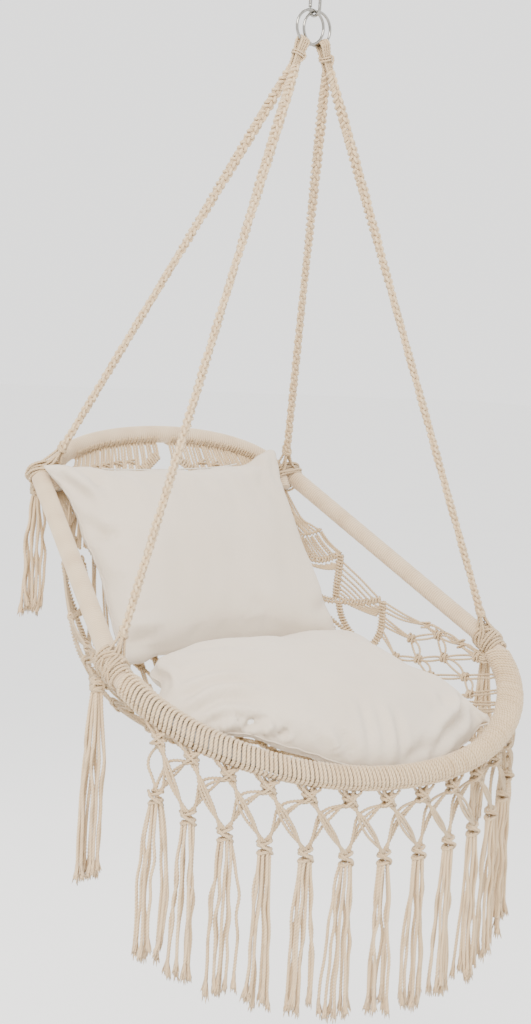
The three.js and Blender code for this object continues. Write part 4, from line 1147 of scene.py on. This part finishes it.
def fringe_bundles(cords, k):
    """Cords to the neighbours' lower knots: one way straight and in front, the other bowed and behind."""
    out = fringe_frame(k)[3]
    for way in (-1, 1):
        inside = 0 <= k + way < STATIONS
        goal = k + way if inside else k
        spread = rng.uniform(5.2, 7.4)
        front = way * 3.6
        for j in (-1, 0, 1):
            begin = fringe_place(k, way * 3.5 + j * 4.0, front * 0.8, UPPER_DROP + 5)
            end = fringe_place(goal, (-way if inside else way) * 3.2 + j * 3.6, front * 0.8, LOWER_DROP - 6)
            normal = unit(np.cross(unit(end - begin), out))
            lane = normal * j * spread
            bow = (9.2 + 3.2 * j) * (1 if way < 0 else 0.2) * rng.uniform(0.6, 1.3)
            bend = normal * bow * (1 if normal[2] * way < 0 else -1)
            cords.add([begin, begin * 0.72 + end * 0.28 + lane * 0.9 + bend * 0.8 + out * front,
                       (begin + end) / 2 + lane + bend + out * front * 1.2,
                       begin * 0.3 + end * 0.7 + lane * 0.8 + bend * 0.5 + out * front, end], FRINGE_R)


def fringe_foot(cords, tips, k):
    """The lower knot with a cord across it, and the loose strands that hang from it."""
    across = fringe_frame(k)[2]
    knot_loops(cords, fringe_place(k, 0, 0, LOWER_DROP), DOWN, across, 8.4, 6.2, pitch=5.2, tilt=0.55,
               radius=2.5)
    slant = ((-10.5, 0, -8), (-3.5, 8.4, -2), (4.5, 8.4, 2), (10, 1.0, 9))
    cords.add([fringe_place(k, side, forward, LOWER_DROP + low) for side, forward, low in slant], FRINGE_R)
    for j in range(LOOSE_STRANDS):
        turn = TAU * j / LOOSE_STRANDS + 0.4
        near = fringe_place(k, 7.0 * math.cos(turn), 4.6 * math.sin(turn), LOWER_DROP + 4)
        lean = rng.uniform(-1.0, 1.0)
        stray = rng.random() < STRAY_SHARE
        wide = (20 if stray else 13.0) * math.cos(turn) + 5 * lean
        bottom = LOWER_DROP + FRINGE_LENGTH - rng.uniform(16, 34)
        far = fringe_place(k, wide, 7.5 * math.sin(turn) + 3 * lean, bottom)
        kink = across * math.cos(turn) * (rng.uniform(4, 10) if stray else rng.uniform(0, 3))
        hanging_strand(cords, tips, near, far, 2.6, kink)


def fringe():
    cords, tips = Cords(), Cords()
    for k in range(STATIONS):
        fringe_head(cords, k)
        fringe_bundles(cords, k)
        fringe_foot(cords, tips, k)
    cords.build("fringe_cords", "fringe")
    tips.build("fringe_ends", "fringe", frayed)


# Cushions
SEAT = dict(front=274, rear=212, tip_y=-99, bulge=150, rear_y=16, skew=42, shift=-22, centre_y=-49,
            centre_z=-936, tilt=20 * DEG, roll=5 * DEG, dish=20, top=60, bottom=28)
BACK = dict(width=408, height=322, arch=10, x=-24, y=149, z=-802, tilt=54 * DEG, roll=1.5 * DEG,
            top=52, bottom=42)
DRAW_IN, CROWN_POWER = 0.055, 0.42
CLOTH = dict(use_pressure=True, uniform_pressure_force=4.0, mass=0.3, tension_stiffness=12,
             compression_stiffness=12, shear_stiffness=6, bending_stiffness=0.4, quality=6)
CLOTH_FRAMES, FARTHEST, SWELL_ROOM = 20, 0.007, 3

# where the cloth is drawn away from the plain form: the place (u, w), how far it reaches, and the move
SEAT_PULLS = [((0, -1), (0.72, 0.26), (0, -11, -24)), ((1, -1), (0.13, 0.50), (-34, -66, -12)),
              ((1, 0.2), (0.25, 0.60), (-20, -2, -14)), ((1, 1), (0.30, 0.40), (-14, 0, -4)),
              ((-1, -0.8), (0.22, 0.55), (-27, -4, -32)), ((-1, 0.2), (0.22, 0.45), (-28, 0, -16)),
              ((-1, 1), (0.30, 0.40), (16, -10, -14)), ((-0.3, 1), (0.60, 0.30), (0, 0, -14))]
BACK_PULLS = [((-1, 1), (0.22, 0.22), (-24, 4, 8)), ((1, 1), (0.30, 0.18), (2, 6, 20))]


def pulled(u, w, pulls):
    """How far the pulls move the places (u, w) together."""
    return sum(np.exp(-((u - a) / p) ** 2 - ((w - b) / q) ** 2)[..., None] * vec(*move)
               for (a, b), (p, q), move in pulls)


def seat_middle(u, w):
    share = (1 + w) / 2
    x = (u * (SEAT["front"] + (SEAT["rear"] - SEAT["front"]) * share) * (1 - DRAW_IN * (1 - w * w))
         + SEAT["shift"] * share)
    front = SEAT["tip_y"] - SEAT["bulge"] * np.sqrt(1 - 0.97 * u * u)
    y = front + (SEAT["rear_y"] + SEAT["skew"] * u - front) * share
    z = (SEAT["centre_z"] + (y - SEAT["centre_y"]) * math.tan(SEAT["tilt"]) + SEAT["dish"] * u * u
         - x * math.tan(SEAT["roll"]))
    return np.stack([x, y, z], -1) + pulled(u, w, SEAT_PULLS)


def seat_share(u):
    """The seat cushion is thinner towards the sitter's left."""
    return 1 - 0.42 * np.clip((u - 0.1) / 0.9, 0, 1) ** 1.3


def back_middle(u, w):
    x = u * BACK["width"] / 2 * (1 - DRAW_IN * (1 - w * w))
    edge = w * BACK["height"] / 2 * (1 - DRAW_IN * (1 - u * u))
    level = edge + BACK["arch"] * (1 - u * u) * ((1 - w) / 2) ** 2 + x * math.tan(BACK["roll"])
    place = np.stack([BACK["x"] + x, BACK["y"] + level * math.cos(BACK["tilt"]),
                      BACK["z"] + level * math.sin(BACK["tilt"])], -1)
    return place + pulled(u, w, BACK_PULLS)


def back_share(u):
    return np.ones_like(u)


def face_point(u, w, middle, share, tilt, height):
    crown = ((1 - u * u) * (1 - w * w)) ** CROWN_POWER
    return middle(u, w) + (height * share(u) * crown)[..., None] * vec(0, -math.sin(tilt), math.cos(tilt))


def pillow_mesh(name, middle, share, tilt, heights, steps=72, inset=0.0):
    """A closed cushion form: a crowned face each way from one seam."""
    line = np.sin(np.linspace(-math.pi / 2, math.pi / 2, steps + 1))
    u, w = np.meshgrid(line * (1 - inset), line * (1 - inset))
    top, bottom = (face_point(u, w, middle, share, tilt, height) for height in heights)
    size = u.size
    upper = np.arange(size).reshape(u.shape)
    rim = np.ones(u.shape, bool)
    rim[1:-1, 1:-1] = False
    lower = np.where(rim, upper, upper + size)
    quads = []
    for grid, flip in ((upper, False), (lower, True)):
        a, b, c, d = grid[:-1, :-1], grid[:-1, 1:], grid[1:, 1:], grid[1:, :-1]
        quads.append(np.stack([a, d, c, b] if flip else [a, b, c, d], -1).reshape(-1, 4))
    verts = np.concatenate([top.reshape(-1, 3), bottom.reshape(-1, 3)])
    quads = np.concatenate(quads)
    used = np.unique(quads)
    remap = np.zeros(len(verts), int)
    remap[used] = np.arange(len(used))
    return make_mesh(name, verts[used], remap[quads])


def read_vectors(source, key):
    flat = np.zeros(len(source) * 3, np.float32)
    source.foreach_get(key, flat)
    return flat.reshape(-1, 3).astype(float)


def write_points(mesh, points):
    mesh.vertices.foreach_set("co", points.astype(np.float32).ravel())
    mesh.update()


def fold_level(rest, stops, width, amount, on_face):
    """How far one fold lifts or presses each point of the cloth."""
    path, _ = smooth_path([vec(u, w, 0) for u, w in stops], 0.02)
    line = on_face(np.clip(path[:, 0], -1, 1), np.clip(path[:, 1], -1, 1)) * MM
    apart = np.full(len(rest), np.inf)
    share = np.zeros(len(rest))
    for k, place in enumerate(line):
        distance = np.linalg.norm(rest - place, axis=1)
        near = distance < apart
        apart[near] = distance[near]
        share[near] = k / (len(line) - 1)
    apart = apart / MM
    fade = np.clip(np.minimum(share, 1 - share) * 3 + 0.15, 0, 1)
    lip = np.exp(-(((apart - 2.1 * width) / width) ** 2))
    return amount * fade * (np.exp(-((apart / width) ** 2)) - 0.35 * lip)


def crease(mesh, rest, folds, on_face):
    """Presses valleys and lifts ridges along lines on the cushion's face, and adds a slow unevenness."""
    level = sum(fold_level(rest, *fold, on_face) for fold in folds)
    for scale, size in ((0.085, 1.3), (0.042, 0.6)):
        for _ in range(4):
            wave = unit(vec(*[rng.gauss(0, 1) for _ in range(3)])) * TAU / scale
            level += size / 2 * np.sin(rest @ wave + rng.uniform(0, TAU))
    normals = read_vectors(mesh.vertex_normals, "vector")
    write_points(mesh, read_vectors(mesh.vertices, "co") + normals * level[:, None] * MM)


def apply_modifier(obj, kind, **settings):
    modifier = obj.modifiers.new(kind.lower(), kind)
    for key, value in settings.items():
        setattr(modifier, key, value)
    bpy.ops.object.modifier_apply(modifier=modifier.name)


def run_cloth(obj):
    """Blows the cloth up for a few frames, so that it draws its own folds."""
    scene = bpy.context.scene
    cloth = obj.modifiers.new("cloth", "CLOTH")
    for key, value in CLOTH.items():
        setattr(cloth.settings, key, value)
    cloth.settings.effector_weights.gravity = 0
    scene.frame_start, scene.frame_end = 1, CLOTH_FRAMES
    cloth.point_cache.frame_start, cloth.point_cache.frame_end = 1, CLOTH_FRAMES
    for number in range(1, CLOTH_FRAMES + 1):
        scene.frame_set(number)
    bpy.ops.object.modifier_apply(modifier="cloth")
    scene.frame_set(1)


def plump(obj):
    """Fills the cushion with air, and limits how far a point may move. Returns where the points were."""
    bpy.context.view_layer.objects.active = obj
    for other in bpy.context.selected_objects:
        other.select_set(False)
    obj.select_set(True)
    apply_modifier(obj, "REMESH", mode="VOXEL", voxel_size=0.005)
    before = read_vectors(obj.data.vertices, "co")
    run_cloth(obj)
    move = read_vectors(obj.data.vertices, "co") - before
    size = np.linalg.norm(move, axis=1)
    scale = np.where(size > 1e-9, FARTHEST * np.tanh(size / FARTHEST) / np.maximum(size, 1e-9), 0)
    rest = obj.data.attributes.new("rest", "FLOAT_VECTOR", "POINT")
    rest.data.foreach_set("vector", before.astype(np.float32).ravel())
    for polygon in obj.data.polygons:
        polygon.use_smooth = True
    write_points(obj.data, before + move * scale[:, None])
    apply_modifier(obj, "SUBSURF", levels=1, render_levels=1)
    rest = read_vectors(obj.data.attributes["rest"].data, "vector")
    obj.data.attributes.remove(obj.data.attributes["rest"])
    return rest


# folds as lines of (u, w) on the face, half width and height in mm: valleys are negative
SEAT_FOLDS = [
    ([(-0.95, -0.40), (-0.84, -0.27), (-0.64, -0.27)], 9, -5),
    ([(-0.95, -0.68), (-0.84, -0.46), (-0.64, -0.50)], 8, -6),
    ([(-0.93, -0.90), (-0.83, -0.70), (-0.66, -0.76)], 8, -6),
    ([(-0.95, -0.55), (-0.84, -0.37), (-0.66, -0.40)], 9, 4),
    ([(-0.93, -0.80), (-0.83, -0.58), (-0.66, -0.62)], 8, 4),
    ([(-0.88, -0.98), (-0.78, -0.92), (-0.68, -0.93)], 6, -5),
    ([(-0.83, -1.0), (-0.77, -0.92)], 7, 8),
    ([(-0.75, -1.0), (-0.71, -0.93)], 5, -8),
    ([(-0.68, -1.0), (-0.64, -0.92)], 7, 8),
    ([(-0.61, -1.0), (-0.58, -0.94)], 5, -7),
    ([(-0.10, -0.60), (-0.17, -1.0)], 7, -4),
    ([(0.04, -0.64), (-0.04, -1.0)], 7, 4),
    ([(0.10, -0.70), (0.03, -1.0)], 7, -3),
    ([(-0.39, -0.86), (-0.34, -1.0)], 7, 4),
    ([(-0.30, -0.84), (-0.26, -1.0)], 7, -3),
    ([(0.84, -0.70), (0.62, -0.85), (0.45, -0.88), (0.26, -1.0)], 8, -9),
    ([(0.60, -0.60), (0.52, -0.80)], 8, -4),
    ([(0.76, -0.66), (0.55, -0.77), (0.36, -0.84)], 10, 6),
    ([(0.02, -1.0), (0.16, -0.95), (0.30, -0.93)], 9, -4),
    ([(-0.97, 0.50), (-0.97, 0.0), (-0.96, -0.55)], 5, 5),
    ([(-0.90, 0.55), (-0.70, 0.35), (-0.45, 0.30)], 12, -4),
    ([(0.40, 0.85), (0.52, 0.55), (0.50, 0.25)], 12, -3)]
BACK_FOLDS = [
    ([(-0.99, 0.93), (-0.97, 0.80), (-0.94, 0.62), (-0.90, 0.50)], 8, -6),
    ([(-0.93, 0.93), (-0.92, 0.78), (-0.88, 0.60)], 9, 5),
    ([(-0.84, 0.97), (-0.80, 0.80), (-0.78, 0.64)], 9, -5),
    ([(-0.99, 0.45), (-0.97, 0.30), (-0.92, 0.16)], 10, -6),
    ([(-0.97, 0.08), (-0.95, -0.06), (-0.88, -0.24)], 12, 5),
    ([(-0.98, 0.26), (-0.90, 0.20), (-0.80, 0.18)], 8, -5),
    ([(-1.0, -0.70), (-0.92, -0.80), (-0.70, -0.86)], 9, -7),
    ([(-1.0, -0.80), (-0.88, -0.90), (-0.66, -0.97)], 8, -6),
    ([(-0.96, -0.62), (-0.86, -0.70), (-0.66, -0.74)], 10, 5),
    ([(0.70, 0.99), (0.74, 0.84), (0.56, 0.55)], 11, -4),
    ([(0.92, 0.97), (0.84, 0.78), (0.80, 0.60)], 9, -5),
    ([(0.97, -0.50), (0.86, -0.66), (0.66, -0.76)], 11, -4),
    ([(-0.55, 0.97), (-0.50, 0.80), (-0.34, 0.62)], 12, -3),
    ([(0.20, -0.98), (0.24, -0.80), (0.12, -0.60)], 12, -3)]


def seam_welt(name, obj, rest, middle):
    """The sewn edge, which follows the finished cloth all round."""
    side, edge = np.linspace(-1, 1, 61)[:-1], np.ones(60)
    u, w = np.r_[side, edge, -side, -edge], np.r_[-edge, side, edge, -side]
    points = read_vectors(obj.data.vertices, "co")
    path = []
    for place in middle(u, w) * MM:
        nearest = points[int(np.argmin(((rest - place) ** 2).sum(1)))] / MM
        if not path or np.linalg.norm(nearest - path[-1]) > 3:
            path.append(nearest)
    cords = Cords()
    cords.add([*path, path[0]], 1.5, plies=2, groove=0.05, lay=300, step=5)
    cords.build(f"{name}_seam", f"{name}_cover", canvas, name, "cushion_cloth")


def inner_case(name, middle, share, data):
    """The sewn case of fibre inside the cover, and the zip in the cover's far seam."""
    heights = (0.66 * data["top"], -0.55 * data["bottom"])
    mesh = pillow_mesh(f"{name}_case", middle, share, data["tilt"], heights, 32, 0.16)
    add_object(f"{name}_case", mesh, fibre_fill, name, f"{name}_insert")
    zip_u = np.linspace(-0.6, 0.6, 30)
    seam = middle(zip_u, np.ones(30))
    inside = middle(zip_u, np.full(30, 0.9))
    teeth = Cords()
    teeth.add(seam + (inside - seam) * 0.12, 1.6, plies=2, lay=3.2, groove=0.4, step=1.0)
    teeth.build(f"{name}_zip_teeth", f"{name}_zip", pale_plastic, name, "plastic")


def cushion(name, middle, share, data, folds):
    heights = (data["top"] - SWELL_ROOM, SWELL_ROOM - data["bottom"])
    mesh = pillow_mesh(f"{name}_canvas", middle, share, data["tilt"], heights)
    obj = add_object(f"{name}_canvas", mesh, canvas, name, f"{name}_cover")
    rest = read_vectors(mesh.vertices, "co")
    rest = plump(obj)
    crease(obj.data, rest, folds, lambda u, w: face_point(u, w, middle, share, data["tilt"], heights[0]))
    seam_welt(name, obj, rest, middle)
    inner_case(name, middle, share, data)


snap_hook()
hook_gate()
for side, sign in SIDES:
    hanging_ring(side, sign)
for side, sign in SIDES:
    sling_neck(side, sign)
    sling_whipping(side, sign)
    for place in ("front", "rear"):
        rope(side, sign, place)
for side, sign in SIDES:
    bar_wrap(side, sign)
arch_wrap()
hitches()
for side, sign in SIDES:
    front_lashing(side, sign)
    rear_lashing(side, sign)
for place in TASSELS:
    for side, sign in SIDES:
        tassel(place, side, sign)
back_net()
seat_net()
fringe()
cushion("seat_cushion", seat_middle, seat_share, SEAT, SEAT_FOLDS)
cushion("back_cushion", back_middle, back_share, BACK, BACK_FOLDS)


# Stage
FLOOR_HALF, FLOOR_LEVEL = 40, -2.05
CHAIR_MIDDLE = (0, 0, -0.75)


def ground():
    """A plain level floor, well below the fringe."""
    mesh = bpy.data.meshes.new("floor")
    corners = ((-1, -1), (1, -1), (1, 1), (-1, 1))
    mesh.from_pydata([(x * FLOOR_HALF, y * FLOOR_HALF, FLOOR_LEVEL) for x, y in corners], [], [(0, 1, 2, 3)])
    floor = new_object("floor", mesh)
    material, tree, shader = new_material("floor")
    grain = noise(tree, object_place(tree), 3.0)
    colour = ramp(tree, grain, 0.2, 0.8, (0.955, 0.955, 0.95), (0.975, 0.975, 0.97))
    tree.links.new(colour, shader.inputs["Base Color"])
    shader.inputs["Roughness"].default_value = 0.9
    mesh.materials.append(material)


def daylight():
    world = bpy.data.worlds.new("studio")
    bpy.context.scene.world = world
    world.use_nodes = True
    background = world.node_tree.nodes["Background"]
    background.inputs["Color"].default_value = (1.0, 0.992, 0.98, 1)
    background.inputs["Strength"].default_value = 1.95


def lamp(name, place, width, power, colour):
    """A round lamp that shines on the middle of the chair."""
    data = bpy.data.lights.new(name, "AREA")
    data.shape = "DISK"
    data.size, data.energy, data.color = width, power, colour
    made = new_object(name, data)
    made.location = place
    made.rotation_euler = (Vector(CHAIR_MIDDLE) - Vector(place)).to_track_quat("-Z", "Y").to_euler()


ground()
daylight()
lamp("key", (-2.6, -2.2, 1.6), 2.0, 230, (1.0, 0.95, 0.88))
lamp("fill", (2.8, -1.6, 0.6), 2.6, 25, (0.97, 0.985, 1.0))
lamp("rim", (1.2, 2.8, 1.4), 2.0, 60, (1.0, 0.97, 0.93))
